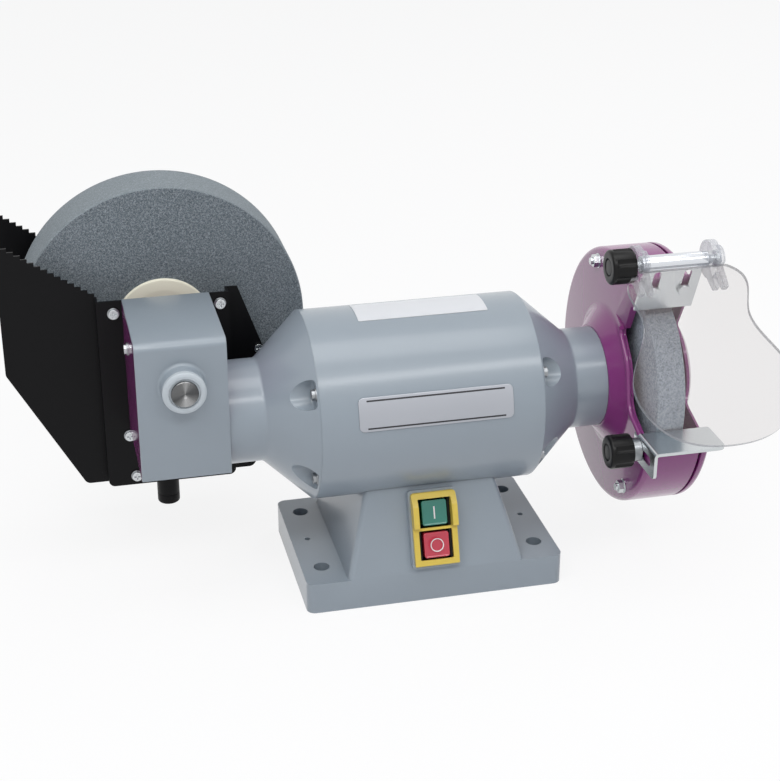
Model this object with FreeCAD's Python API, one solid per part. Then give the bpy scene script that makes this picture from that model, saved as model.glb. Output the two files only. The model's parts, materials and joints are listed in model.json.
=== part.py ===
import FreeCAD, Part
import math
import os

os.makedirs("parts", exist_ok=True)
V = FreeCAD.Vector

# Wet and dry bench grinder, millimetres. X runs along the motor shaft towards the dry wheel,
# Y points to the back and Z up. The origin is the centre of the four bench bolts, at the bench.

# base casting
footWidth = 182.5
footFrontY = -63.0
footBackY = 60.0
footHeight = 22.6
footCorner = 6.0
castWall = 4.5
boltSpacingX = 154.0
boltSpacingY = 80.0
boltHoleR = 5.5
boltBossR = 11.0
pinHoleR = 2.0
pedestalBottomWidth = 125.2
pedestalBackY = 56.0
pedestalTopWidth = 92.5
pedestalTopFrontY = -42.0
pedestalTopBackY = 38.0
saddleZ = 64.0
saddleRise = 15.0
bottomPlateThick = 1.5
plateScrewX = 70.0
plateScrewY = 22.0
plateBossR = 5.0
plateScrewR = 1.9
plateHeadR = 3.4
plateHeadThick = 1.6
plateScrewTip = 12.0
glandX = 30.0
glandAboveFoot = 9.7
glandThreadR = 7.5
glandFlats = 19.0
cableR = 3.6
capacitorR = 15.0
capacitorX = -26.0
capacitorHalf = 30.0
capacitorStudR = 4.0
capacitorStud = 8.0
clipHalf = 8.0
clipThick = 1.5
clipFoot = 12.0
terminalX = 40.0
terminalWidth = 20.0
terminalLength = 44.0
terminalHeight = 12.0

# switch on the sloping front
switchWidth = 31.2
switchHeight = 51.3
switchCentreX = -0.8
switchCentreUp = 30.5
surroundProud = 5.0
bezelThick = 2.2
buttonWidth = 18.6
buttonHeight = 20.6
buttonPitch = 22.6
buttonTravel = 3.0
buttonProud = 1.6
buttonGap = 0.5
buttonInside = 8.0
switchDepth = 23.0
switchWall = 2.3

# motor
shellR = 65.3
shellWall = 3.0
shellLeftX = -79.8
shellLength = 152.8
neckR = 35.4
leftConeLength = 31.9
leftNeckLength = 24.5
rightConeLength = 33.0
rightNeckLength = 22.8
bellWall = 4.5
spigotLength = 6.0
statorLength = 52.0
boreBelowShell = 31.3
airGap = 0.5
slotCount = 24
bellScrewAngle = 31.0
bellScrewR = 59.5
bellPocketR = 10.0
bellPocketFloor = 1.2
bearingOuterR = 17.5
bearingBoreR = 8.5
bearingWidth = 10.0
bearingBallR = 3.0
bearingLandR = 1.6
ballCount = 8
ballGap = 0.04
shaftHoleR = 11.0
neckScrewR = 2.4
neckScrewPitchR = 25.5
neckScrewAngles = (90, 210, 330)
headR = 3.5
headThick = 2.6
bellScrewShankR = 2.0
bellHeadR = 3.6
bellHeadThick = 3.0
saddleHoleR = 9.0
saddleScrewR = 3.0
saddleScrewX = 36.0
saddleNutThick = 4.8
saddleNutFlats = 10.0
yokeThick = 12.65
slotWide = 4.6
slotInset = 1.6
barGap = 0.3
coilThick = 15.0
coilGap = 2.0
endRingWide = 7.0
endRingFinLength = 4.0
glueGap = 0.1
badgeThick = 0.8
badgeWidth = 105.6
badgeMidX = -1.9
badgeAngles = (5.8, 26.0)
labelThick = 0.35
labelWidth = 90.0
labelMidX = 1.0
labelAngles = (77.5, 103.5)
rotorSeatR = 11.0
journalR = 7.0
runningGap = 0.05
seatGap = 0.05
clearHole = 0.2

# worm gear
wormModule = 2.0
wormPitchR = 18.0
wormTeeth = 22
wormBacklash = 0.45
pressureAngle = 20.0
wormLength = 30.0
gearFace = 16.0

# gear case
caseWidth = 59.8
caseFrontY = -37.7
caseDepth = 82.7
caseBelowMotor = 27.3
caseAboveSpindle = 30.7
caseWall = 3.5
coverThick = 2.0
noseR = 14.5
noseLength = 8.5
sealThick = 3.5
spindleCapR = 9.0
spindleCapThick = 2.0
spindleR = 7.0
shaftSealR = 14.0
caseScrewR = 2.0
sideScrewY = 15.0
bushR = 10.5
bushLength = 12.0

# wet wheel
wetWheelR = 100.0
wetWheelThick = 40.0
wheelBehindCase = 24.3
hubR = 34.0
hubFlangeThick = 3.0
wetNutThick = 6.0
wetNutFlats = 22.0

# water tank
tankSheet = 1.5
tankStep = 9.0
tankBehindWheel = 14.7
tankUnderWheel = 11.8
tankLeftOfWheel = 11.4
tankFrontAbove = 29.7
padLeftReach = 47.4
padRightReach = 43.6
leftFootReach = 62.4
leftEndBelow = 22.3
endWallAbove = 17.7
rightFootReach = 57.6
rightReach = 72.6
rightLowRise = 26.5
rightWallRise = 10.0
rightHighBelow = 31.8
rightTabReach = 50.8
serrationRise = 43.0
serrationCount = 15
slotR = 20.8
tankScrewR = 2.0
tankHeadR = 3.5
stayHeadR = 3.2
stayHeadThick = 2.0
stayNutFlats = 7.0
drainOffset = -1.9
drainR = 7.8
drainBoreR = 5.0
drainLength = 32.0
drainTaper = 1.0
padCornerR = 4.5

# dry wheel and its guard
dryWheelR = 75.0
dryWheelThick = 20.0
dryWheelInset = 21.0
dryBoreR = 8.0
flangeR = 24.0
innerFlangeThick = 5.5
outerFlangeThick = 4.0
blotterThick = 0.6
spindleNutThick = 8.0
guardR = 91.2
guardSheet = 1.6
guardBossDepth = 9.7
guardCornerR = 6.0
guardBandWidth = 37.5
guardBossR = 50.0
mouthRimDepth = 3.2
lipGap = 0.3
coverLipLength = 4.0
coverGroove = 2.2
guardWidth = 45.0
coverCornerR = 3.4
coverBossDepth = 7.0
coverBossR = 34.0
coverBossFootR = 46.0
guardBoltR = 81.5
guardBoltShankR = 2.5
guardBoltAngles = (73.0, 232.0, 340.0)
guardHeadR = 4.4
guardHeadThick = 3.0
nutFlats = 8.0
nutThick = 4.0
nutWasherR = 5.2
spacerR = 3.6
boltTip = 6.5

# tool rest, spark plate and eye shield
restWidth = 51.0
restDepth = 31.5
restBelow = 10.8
restGap = 0.6
restSheet = 2.2
restFlangeDrop = 19.5
restStudY = -78.5
studBelowRest = 9.9
restTravelOut = 3.5
knobR = 11.6
knobLength = 16.5
knobFlutes = 6
knobRound = 1.8
fluteR = 4.0
fluteOut = 2.4
knobBoreDepth = 12.0
studR = 3.0
collarR = 8.0
collarThick = 6.0
rodY = -64.0
rodAbove = 107.5
rodR = 5.75
rodLength = 46.5
rodOffset = -2.2
rodBoltR = 3.0
sparkOffset = -0.5
sparkScrewHalf = 10.7
sparkWidth = 41.0
sparkSheet = 2.0
sparkLowY = -47.0
sparkLowAbove = 68.5
sparkTravel = 4.0
shieldOffset = 1.5
clampThick = 9.4
clampEarThick = 5.3
clampR = 13.0
clampHubR = 9.0
clampTail = 22.0
forkGap = 3.4
forkStart = 10.5
shieldTilt = 50.0
shieldSheet = 3.0
shieldInner = 1.5
knobClearance = 0.5
shieldTopHalf = 30.0
shieldLobeHalf = 41.3
shieldWaistHalf = 36.7
shieldSkirtHalf = 54.5
shieldTopDown = 7.0
shieldLobeDown = 22.0
shieldWaistDown = 42.0
shieldSkirtDown = 90.0
shieldLength = 134.0

# what follows from the sizes above
motorZ = saddleZ + shellR
statorBoreR = shellR - boreBelowShell
pedestalTopZ = saddleZ + saddleRise
shellRightX = shellLeftX + shellLength
shellMidX = (shellLeftX + shellRightX) / 2
leftConeEndX = shellLeftX - leftConeLength
caseRightX = leftConeEndX - leftNeckLength
rightConeEndX = shellRightX + rightConeLength
rightNeckEndX = rightConeEndX + rightNeckLength
caseLeftX = caseRightX - caseWidth
spindleX = caseRightX - caseWidth / 2
spindleZ = motorZ + wormPitchR + wormModule * wormTeeth / 2
caseBottomZ = motorZ - caseBelowMotor
caseTopZ = spindleZ + caseAboveSpindle
caseRearY = caseFrontY + caseDepth
wetWheelFrontY = caseRearY + wheelBehindCase
wetWheelBackY = wetWheelFrontY + wetWheelThick

tankFrontY = caseRearY
tankMidFrontY = tankFrontY + tankStep
tankBackY = wetWheelBackY + tankBehindWheel
tankBottomZ = spindleZ - wetWheelR - tankUnderWheel
tankTopZ = spindleZ + tankFrontAbove
tankPadLeftX = spindleX - padLeftReach
tankPadRightX = spindleX + padRightReach
tankLeftX = spindleX - wetWheelR - tankLeftOfWheel
tankLeftEndZ = spindleZ - leftEndBelow
tankLeftFootX = spindleX - leftFootReach
tankRightFootX = spindleX + rightFootReach
tankRightX = spindleX + rightReach
tankRightLowZ = tankBottomZ + rightLowRise
tankRightHighZ = spindleZ - rightHighBelow
tankRightTabX = spindleX + rightTabReach
tankEndWallZ = spindleZ + endWallAbove
tankRightWallZ = tankRightLowZ + rightWallRise
serrationTopZ = tankTopZ + serrationRise
drainX = spindleX + drainOffset

guardDiscX = rightNeckEndX + guardBossDepth
guardBandEndX = guardDiscX + guardBandWidth
coverDiscX = guardDiscX + guardWidth
dryWheelCentreX = guardDiscX + dryWheelInset
restZ = motorZ - restBelow
restStudZ = restZ - studBelowRest
rodZ = motorZ + rodAbove
rodCentreX = dryWheelCentreX + rodOffset
sparkCentreX = dryWheelCentreX + sparkOffset
shieldCentreX = dryWheelCentreX + shieldOffset
sparkLowZ = motorZ + sparkLowAbove


# Cylinder along an axis from a to b; u and v are its centre in the other two axes.
def cyl(axis, r, a, b, u=0.0, v=0.0):
    place = {"x": V(a, u, v), "y": V(u, a, v), "z": V(u, v, a)}[axis]
    along = {"x": V(1, 0, 0), "y": V(0, 1, 0), "z": V(0, 0, 1)}[axis]
    return Part.makeCylinder(r, b - a, place, along)


def tube(axis, outer, inner, a, b, u=0.0, v=0.0):
    return cyl(axis, outer, a, b, u, v).cut(cyl(axis, inner, a - 1, b + 1, u, v))


def box(x0, x1, y0, y1, z0, z1):
    return Part.makeBox(x1 - x0, y1 - y0, z1 - z0, V(x0, y0, z0))


def place3(plane, u, v, w):
    return {"xy": V(u, v, w), "xz": V(u, w, v), "yz": V(w, u, v)}[plane]


# Closed wire through (u, v) or (u, v, corner radius) points.
def outline(points, plane, at):
    edges = []
    starts = []
    ends = []
    arcs = []
    n = len(points)
    for i in range(n):
        here = V(points[i][0], points[i][1], 0)
        before = V(points[i - 1][0], points[i - 1][1], 0)
        after = V(points[(i + 1) % n][0], points[(i + 1) % n][1], 0)
        r = points[i][2] if len(points[i]) > 2 else 0.0
        if r <= 0:
            starts.append(here)
            ends.append(here)
            arcs.append(None)
            continue
        a = (before - here).normalize()
        b = (after - here).normalize()
        half = a.getAngle(b) / 2
        cut = r / math.tan(half)
        middle = here + (a + b).normalize() * (r / math.sin(half))
        tip = middle + (here - middle).normalize() * r
        starts.append(here + a * cut)
        ends.append(here + b * cut)
        arcs.append(tip)
    for i in range(n):
        if arcs[i] is not None:
            three = [place3(plane, q.x, q.y, at) for q in (starts[i], arcs[i], ends[i])]
            edges.append(Part.Arc(*three).toShape())
        following = starts[(i + 1) % n]
        if (following - ends[i]).Length > 1e-6:
            edges.append(Part.makeLine(place3(plane, ends[i].x, ends[i].y, at),
                                       place3(plane, following.x, following.y, at)))
    return Part.Wire(edges)


def prism(points, plane, a, b):
    face = Part.Face(outline(points, plane, a))
    along = {"xy": V(0, 0, b - a), "xz": V(0, b - a, 0), "yz": V(b - a, 0, 0)}[plane]
    return face.extrude(along)


# Solid of revolution about the motor axis from (x, radius) points.
def turned(profile):
    points = [V(x, 0, motorZ + r) for x, r in profile]
    face = Part.Face(Part.makePolygon(points + [points[0]]))
    return face.revolve(V(0, 0, motorZ), V(1, 0, 0), 360)


def hexagon(axis, acrossFlats, a, b, u, v):
    r = acrossFlats / math.sqrt(3)
    plane = {"x": "yz", "y": "xz", "z": "xy"}[axis]
    corners = [(u + r * math.cos(math.radians(60 * i)), v + r * math.sin(math.radians(60 * i)))
               for i in range(6)]
    return prism(corners, plane, a, b)


def polar(r, degrees, u=0.0, v=0.0):
    return u + r * math.cos(math.radians(degrees)), v + r * math.sin(math.radians(degrees))


def join(shapes):
    result = shapes[0]
    if len(shapes) > 1:
        result = result.multiFuse(shapes[1:])
    return result.removeSplitter()


# Pan head on the far side of the seat from the tip, with a cross slot.
def screw(axis, headR, headThick, shankR, seat, tip, u, v):
    out = 1 if seat > tip else -1
    top = seat + out * headThick
    body = cyl(axis, headR, min(seat, top), max(seat, top), u, v)
    shank = cyl(axis, shankR, min(seat, tip), max(seat, tip), u, v)
    slotEnds = sorted((top - out * headThick * 0.45, top + out))
    plane = {"x": "yz", "y": "xz", "z": "xy"}[axis]
    long, thin = headR * 0.62, headR * 0.13
    slots = [prism([(u - p, v - q), (u + p, v - q), (u + p, v + q), (u - p, v + q)], plane, *slotEnds)
             for p, q in ((long, thin), (thin, long))]
    return body.fuse(shank).cut(slots[0].fuse(slots[1])).removeSplitter()


def save(name, *shapes):
    shape = shapes[0] if len(shapes) == 1 else Part.makeCompound(list(shapes))
    volume = sum(s.Volume for s in shape.Solids)
    print(f"{name:24s} {len(shape.Solids):3d} solids {volume / 1000:10.2f} cm3 valid {shape.isValid()}")
    shape.exportStep(f"parts/{name}.step")


# Base and switch.
slope = math.atan2(pedestalTopFrontY - footFrontY, pedestalTopZ - footHeight)
slopeUp = V(0, math.sin(slope), math.cos(slope))
slopeOut = V(0, -math.cos(slope), math.sin(slope))
slopeStart = V(switchCentreX, footFrontY, footHeight)


# Moves a shape drawn in X, up-slope Y and outward Z onto the sloping front.
def onSlope(shape):
    turn = FreeCAD.Rotation(V(1, 0, 0), slopeUp, slopeOut, "XYZ")
    moved = shape.copy()
    moved.Placement = FreeCAD.Placement(slopeStart, turn)
    return moved


def slopeBox(halfWidth, low, high, inner, outer, corner=0.0):
    points = [(-halfWidth, low, corner), (halfWidth, low, corner),
              (halfWidth, high, corner), (-halfWidth, high, corner)]
    return onSlope(prism(points, "xy", inner, outer))


# Tapered column, drawn on past its top height to topZ along its own slopes.
def pedestalLoft(inset, topZ):
    grow = (topZ - footHeight) / (pedestalTopZ - footHeight)
    wires = []
    for share, z in ((0.0, footHeight), (grow, topZ)):
        half = pedestalBottomWidth / 2 + (pedestalTopWidth - pedestalBottomWidth) / 2 * share - inset
        front = footFrontY + (pedestalTopFrontY - footFrontY) * share + inset
        back = pedestalBackY + (pedestalTopBackY - pedestalBackY) * share - inset
        wires.append(outline([(-half, front, 4), (half, front, 4), (half, back, 4), (-half, back, 4)],
                             "xy", z))
    return Part.makeLoft(wires, True, True)


switchLow = switchCentreUp - switchHeight / 2
switchHigh = switchCentreUp + switchHeight / 2
bossX = boltSpacingX / 2
bossY = boltSpacingY / 2
foot = prism([(-footWidth / 2, footFrontY, footCorner), (footWidth / 2, footFrontY, footCorner),
              (footWidth / 2, footBackY, footCorner), (-footWidth / 2, footBackY, footCorner)],
             "xy", 0, footHeight)
footHollow = prism([(-footWidth / 2 + castWall, footFrontY + castWall, footCorner - 2),
                    (footWidth / 2 - castWall, footFrontY + castWall, footCorner - 2),
                    (footWidth / 2 - castWall, footBackY - castWall, footCorner - 2),
                    (-footWidth / 2 + castWall, footBackY - castWall, footCorner - 2)],
                   "xy", -1, footHeight - castWall)
boltSpots = [(sx * bossX, sy * bossY) for sx in (-1, 1) for sy in (-1, 1)]
plateSpots = [(sx * plateScrewX, sy * plateScrewY) for sx in (-1, 1) for sy in (-1, 1)]
bosses = [cyl("z", boltBossR, 0, footHeight, x, y) for x, y in boltSpots]
boltHoles = [cyl("z", boltHoleR, -1, footHeight + 1, x, y) for x, y in boltSpots]
pinHoles = [cyl("z", pinHoleR, -1, footHeight + 1, sx * (bossX + 2.4), 0) for sx in (-1, 1)]
columnTopZ = saddleZ + 2 * saddleRise
column = pedestalLoft(0, columnTopZ)
columnHollow = pedestalLoft(castWall, columnTopZ).fuse(
    box(-pedestalBottomWidth / 2 + castWall, pedestalBottomWidth / 2 - castWall, footFrontY + castWall,
        pedestalBackY - castWall, footHeight - castWall - 1, footHeight + 0.01))
saddleUnder = cyl("x", shellR + castWall, -footWidth, footWidth, 0, motorZ)
surround = slopeBox(switchWidth / 2 + 1.6, switchLow - 1.6, switchHigh + 1.6, -2, surroundProud, 2.5)
switchWindow = slopeBox(switchWidth / 2 - 2, switchLow + 2, switchHigh - 2, -20, 20)
glandZ = footHeight + glandAboveFoot
plateBosses = [cyl("z", plateBossR, bottomPlateThick, footHeight - castWall + 1, x, y) for x, y in plateSpots]
pedestal = join([foot.cut(footHollow), column.cut(columnHollow.cut(saddleUnder)), surround] + bosses
                + plateBosses)
pedestal = pedestal.cut(box(-pedestalBottomWidth / 2 + castWall, pedestalBottomWidth / 2 - castWall,
                            footFrontY + castWall, pedestalBackY - castWall, footHeight - castWall - 1,
                            footHeight + 2))
pedestal = pedestal.cut(cyl("x", shellR + seatGap, -footWidth, footWidth, 0, motorZ))
pedestal = pedestal.cut(cyl("z", saddleHoleR, footHeight + 5, motorZ - shellR + 10, shellMidX, 0))
saddleSpots = [shellMidX + s * saddleScrewX for s in (-1, 1)]
saddleScrewHoles = [cyl("z", saddleScrewR + clearHole, footHeight + 5, motorZ, x, 0) for x in saddleSpots]
for hole in boltHoles + pinHoles + saddleScrewHoles + [switchWindow]:
    pedestal = pedestal.cut(hole)
plateScrewHoles = [cyl("z", plateScrewR, -1, footHeight - castWall - 4, x, y) for x, y in plateSpots]
for hole in plateScrewHoles:
    pedestal = pedestal.cut(hole)
pedestal = pedestal.cut(cyl("y", glandThreadR + clearHole, 20, 100, glandX, glandZ))
save("pedestal", pedestal)

plate = prism([(-footWidth / 2 + castWall + 0.5, footFrontY + castWall + 0.5, 3),
               (footWidth / 2 - castWall - 0.5, footFrontY + castWall + 0.5, 3),
               (footWidth / 2 - castWall - 0.5, footBackY - castWall - 0.5, 3),
               (-footWidth / 2 + castWall + 0.5, footBackY - castWall - 0.5, 3)],
              "xy", 0.3, bottomPlateThick)
for x, y in boltSpots:
    plate = plate.cut(cyl("z", boltBossR + 0.5, -1, 5, x, y))
for x, y in plateSpots:
    plate = plate.cut(cyl("z", plateScrewR + clearHole, -1, 5, x, y))
plateVents = [box(x - 1.5, x + 1.5, -18, 18, -1, 5) for x in range(-24, 25, 8)]
for vent in plateVents:
    plate = plate.cut(vent)
save("bottom_plate", plate)

save("bottom_plate_screws", *[screw("z", plateHeadR, plateHeadThick, plateScrewR - 0.1,
                                    bottomPlateThick - 1.2, plateScrewTip, x, y) for x, y in plateSpots])

# Switch: box behind the window, frame on the surround, two square buttons.
bezelBase = surroundProud
onUp = switchCentreUp + buttonPitch / 2
offUp = switchCentreUp - buttonPitch / 2
switchFloor = surroundProud - switchDepth


def buttonBox(up, grow, inner, outer, corner=0.0):
    halfW, halfH = buttonWidth / 2 + grow, buttonHeight / 2 + grow
    return onSlope(prism([(-halfW, up - halfH, corner), (halfW, up - halfH, corner),
                          (halfW, up + halfH, corner), (-halfW, up + halfH, corner)], "xy", inner, outer))


bezel = slopeBox(switchWidth / 2, switchLow, switchHigh, bezelBase, bezelBase + bezelThick, 2)
switchBody = slopeBox(switchWidth / 2 - switchWall, switchLow + switchWall, switchHigh - switchWall,
                      switchFloor, bezelBase)
for up in (onUp, offUp):
    bezel = bezel.cut(buttonBox(up, buttonGap, 0, 20))
    switchBody = switchBody.cut(buttonBox(up, buttonGap, bezelBase - buttonInside - buttonTravel - 1, 20))
save("switch_bezel", bezel)
save("switch_body", switchBody)
for name, up in (("on_button", onUp), ("off_button", offUp)):
    save(name, buttonBox(up, 0, bezelBase - buttonInside, bezelBase + bezelThick + buttonProud, 1.0))

save("terminal_block", box(terminalX - terminalWidth / 2, terminalX + terminalWidth / 2, -terminalLength / 2,
                           terminalLength / 2, bottomPlateThick, bottomPlateThick + terminalHeight))
capacitorZ = bottomPlateThick + capacitorR + 2.0
save("capacitor", cyl("y", capacitorR, -capacitorHalf, capacitorHalf, capacitorX, capacitorZ).fuse(
    cyl("y", capacitorStudR, capacitorHalf, capacitorHalf + capacitorStud, capacitorX, capacitorZ)))
clip = tube("y", capacitorR + clipThick, capacitorR + seatGap, -clipHalf, clipHalf, capacitorX, capacitorZ)
clip = clip.fuse(box(capacitorX + capacitorR + 1, capacitorX + capacitorR + clipFoot, -clipHalf, clipHalf,
                     bottomPlateThick, bottomPlateThick + clipThick))
clip = clip.fuse(box(capacitorX + capacitorR + 0.3, capacitorX + capacitorR + clipThick, -clipHalf, clipHalf,
                     bottomPlateThick, capacitorZ))
save("capacitor_clip", clip.removeSplitter())

# Cable gland in the back of the column, with its nut inside.
backSlope = (pedestalBackY - pedestalTopBackY) / (pedestalTopZ - footHeight)
backAtGland = pedestalBackY - (glandZ - footHeight) * backSlope
glandInnerY = backAtGland - castWall - 5
gland = cyl("y", glandThreadR, glandInnerY, backAtGland + 4, glandX, glandZ)
gland = gland.fuse(hexagon("y", glandFlats, backAtGland + 4, backAtGland + 9, glandX, glandZ))
gland = gland.fuse(Part.makeCone(8.4, 6.0, 6.0, V(glandX, backAtGland + 9, glandZ), V(0, 1, 0)))
gland = gland.cut(cyl("y", cableR, glandInnerY - 1, backAtGland + 16, glandX, glandZ))
glandNutY = backAtGland - castWall - 6.6
glandNut = hexagon("y", glandFlats, glandNutY, glandNutY + 3.4, glandX, glandZ)
glandNut = glandNut.cut(cyl("y", glandThreadR + seatGap, 0, 90, glandX, glandZ))
save("cable_gland", gland.removeSplitter(), glandNut)

# Motor.
shell = tube("x", shellR, shellR - shellWall, shellLeftX, shellRightX, 0, motorZ)
shell = shell.cut(cyl("z", saddleHoleR, motorZ - shellR - 5, motorZ - shellR + 10, shellMidX, 0))
for x in saddleSpots:
    shell = shell.cut(cyl("z", saddleScrewR + clearHole, motorZ - shellR - 5, motorZ - shellR + 10, x, 0))
save("motor_shell", shell)
statorR = shellR - shellWall - seatGap
underSaddle = motorZ - shellR - castWall
insideShell = motorZ - shellR + shellWall
saddleBolts = []
for x in saddleSpots:
    head = hexagon("z", saddleNutFlats, underSaddle - saddleNutThick, underSaddle - 0.1, x, 0)
    head = head.fuse(cyl("z", saddleScrewR, underSaddle - 1, insideShell + 6, x, 0))
    saddleBolts.append(head.removeSplitter())
    nut = hexagon("z", saddleNutFlats, insideShell + 0.3, insideShell + saddleNutThick, x, 0)
    saddleBolts.append(nut.cut(cyl("z", saddleScrewR + seatGap, underSaddle, motorZ, x, 0)))
save("saddle_bolts", *saddleBolts)

coreLeft = shellMidX - statorLength / 2
coreRight = shellMidX + statorLength / 2
slotDepth = statorR - yokeThick - statorBoreR - slotInset
core = tube("x", statorR, statorBoreR, coreLeft, coreRight, 0, motorZ)
bars = []
slots = []
for i in range(slotCount):
    turnDegrees = 360 / slotCount * i
    low = motorZ + statorBoreR + slotInset
    slot = box(coreLeft - 1, coreRight + 1, -slotWide / 2, slotWide / 2, low, low + slotDepth)
    bar = box(coreLeft - 3, coreRight + 3, -slotWide / 2 + barGap, slotWide / 2 - barGap, low + barGap,
              low + slotDepth - barGap)
    for piece, group in ((slot, slots), (bar, bars)):
        piece.rotate(V(0, 0, motorZ), V(1, 0, 0), turnDegrees)
        group.append(piece)
core = core.cut(Part.makeCompound(slots))
save("stator_core", core)
coils = [tube("x", statorBoreR + slotInset + slotDepth + 3, statorBoreR + 2.5, a, a + coilThick, 0, motorZ)
         for a in (coreLeft - coilGap - coilThick, coreRight + coilGap)]
save("windings", join(coils + bars))
bellQuadrants = (bellScrewAngle, 180 - bellScrewAngle, 180 + bellScrewAngle, -bellScrewAngle)


# End bell between x = face (at the shell) and its neck end; side is -1 on the left.
def endBell(side, face, coneEnd, neckEnd, hubHole):
    wall = bellWall
    outer = turned([(face, 0), (face, shellR), (coneEnd, neckR), (neckEnd, neckR), (neckEnd, 0)])
    spigot = tube("x", shellR - shellWall - seatGap, shellR - shellWall - 5,
                  *sorted((face, face - side * spigotLength)), 0, motorZ)
    cavity = turned([(face - side * 1, 0), (face - side * 1, shellR - shellWall - 5),
                     (face + side * 3, shellR - shellWall - 5), (coneEnd - side * wall, neckR - wall),
                     (coneEnd - side * wall, 0)])
    seatA = coneEnd - side * (wall + 1)
    seatB = coneEnd - side * wall + side * bearingWidth
    seat = cyl("x", bearingOuterR + seatGap, *sorted((seatA, seatB)), 0, motorZ)
    hollow = cyl("x", neckR - wall, *sorted((seatB + side * 3, neckEnd - side * wall)), 0, motorZ)
    hole = cyl("x", hubHole, *sorted((coneEnd - side * 20, neckEnd + side)), 0, motorZ)
    bell = outer.fuse(spigot).cut(cavity).cut(seat).cut(hollow).cut(hole)
    cone = turned([(face, 0), (face, shellR), (coneEnd, neckR), (coneEnd, 0)])
    floor = face + side * bellPocketFloor
    for quadrant in bellQuadrants:
        y, z = polar(bellScrewR, quadrant, 0, motorZ)
        pocketWall = cyl("x", bellPocketR + 2.5, *sorted((face, face + side * 26)), y, z)
        bell = bell.fuse(pocketWall.common(cone))
    for quadrant in bellQuadrants:
        y, z = polar(bellScrewR, quadrant, 0, motorZ)
        bell = bell.cut(cyl("x", bellPocketR, *sorted((floor, face + side * 60)), y, z))
        bell = bell.cut(cyl("x", bellScrewShankR + clearHole, *sorted((face - side * 3, floor + side)), y, z))
    for degrees in neckScrewAngles:
        y, z = polar(neckScrewPitchR, degrees, 0, motorZ)
        bell = bell.cut(cyl("x", neckScrewR, *sorted((neckEnd - side * (wall + 1), neckEnd + side)), y, z))
    return bell, seatB - side * bearingWidth


bellLeft, bearingLeftX = endBell(-1, shellLeftX, leftConeEndX, caseRightX, shaftHoleR)
bellRight, bearingRightX = endBell(1, shellRightX, rightConeEndX, rightNeckEndX, shaftHoleR)
save("end_bell_left", bellLeft.removeSplitter())
save("end_bell_right", bellRight.removeSplitter())

bellScrews = []
for side, face in ((-1, shellLeftX), (1, shellRightX)):
    for quadrant in bellQuadrants:
        y, z = polar(bellScrewR, quadrant, 0, motorZ)
        bellScrews.append(screw("x", bellHeadR, bellHeadThick, bellScrewShankR,
                                face + side * (bellPocketFloor + 0.05), face - side * 0.5, y, z))
save("end_bell_screws", *bellScrews)

# Ball bearings: outer and inner rings with a raceway gap, and the balls between them.
ringSplit = (bearingOuterR + bearingBoreR) / 2
outerRaces, innerRings = [], []
for start in (bearingLeftX - bearingWidth, bearingRightX):
    middle = start + bearingWidth / 2
    race = Part.makeTorus(ringSplit, bearingBallR + ballGap, V(middle, 0, motorZ), V(1, 0, 0))
    outer = tube("x", bearingOuterR, ringSplit + bearingLandR, start, start + bearingWidth, 0, motorZ)
    inner = tube("x", ringSplit - bearingLandR, bearingBoreR, start, start + bearingWidth, 0, motorZ)
    outerRaces.append(outer.cut(race))
    innerRings.append(inner.cut(race))
    for i in range(ballCount):
        y, z = polar(ringSplit, 360 / ballCount * i, 0, motorZ)
        outerRaces.append(Part.makeSphere(bearingBallR, V(middle, y, z)))
save("bearing_outer_races", *outerRaces)
save("bearing_inner_rings", *innerRings)


# Curved plate on the shell between two angles above the front horizontal.
def shellPlate(middle, width, angles, thick):
    left, right = middle - width / 2, middle + width / 2
    corners = [(-2 * shellR * math.cos(math.radians(a)), motorZ + 2 * shellR * math.sin(math.radians(a)))
               for a in angles]
    wedge = prism([(0, motorZ)] + corners, "yz", left, right)
    return tube("x", shellR + glueGap + thick, shellR + glueGap, left, right, 0, motorZ).common(wedge)


save("badge_plate", shellPlate(badgeMidX, badgeWidth, badgeAngles, badgeThick))
save("top_label", shellPlate(labelMidX, labelWidth, labelAngles, labelThick))

# Rotor.
dryLeftX = dryWheelCentreX - dryWheelThick / 2
dryRightX = dryWheelCentreX + dryWheelThick / 2
innerFlangeLeftX = dryLeftX - blotterThick - innerFlangeThick
outerFlangeRightX = dryRightX + blotterThick + outerFlangeThick
wormLeftX = spindleX - wormLength / 2
wormRightX = spindleX + wormLength / 2
wormSeatR = 8.0
bearingSeatR = bearingBoreR - seatGap
endBushLength = 8.0
endBushWall = 2.5
journalEndX = caseLeftX + caseWall + 2
shaftEndX = outerFlangeRightX + spindleNutThick + 1.6
shaft = turned([(journalEndX, 0), (journalEndX, journalR), (wormLeftX - 0.5, journalR),
                (wormLeftX - 0.5, wormSeatR), (wormRightX, wormSeatR), (wormRightX, bearingSeatR),
                (bearingLeftX + 0.1, bearingSeatR), (bearingLeftX + 0.1, rotorSeatR),
                (bearingRightX - 0.1, rotorSeatR), (bearingRightX - 0.1, bearingSeatR),
                (innerFlangeLeftX, bearingSeatR), (innerFlangeLeftX, dryBoreR - seatGap),
                (shaftEndX, dryBoreR - seatGap), (shaftEndX, 0)])
save("motor_shaft", shaft)
rotorR = statorBoreR - airGap
save("rotor_core", tube("x", rotorR, rotorSeatR + seatGap, coreLeft, coreRight, 0, motorZ))
ringStarts = (coreLeft - endRingWide, coreRight)
endRings = [tube("x", rotorR - 1, 20, a, a + endRingWide, 0, motorZ) for a in ringStarts]
finLength = endRingWide + endRingFinLength
fins = [box(a, a + finLength, -1, 1, motorZ + 22, motorZ + rotorR - 1.5)
        for a in (coreLeft - finLength, coreRight)]
ringSolids = []
for ring, fin in zip(endRings, fins):
    blades = []
    for i in range(9):
        blade = fin.copy()
        blade.rotate(V(0, 0, motorZ), V(1, 0, 0), 40 * i)
        blades.append(blade)
    ringSolids.append(join([ring] + blades))
save("rotor_end_rings", *ringSolids)

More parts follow.
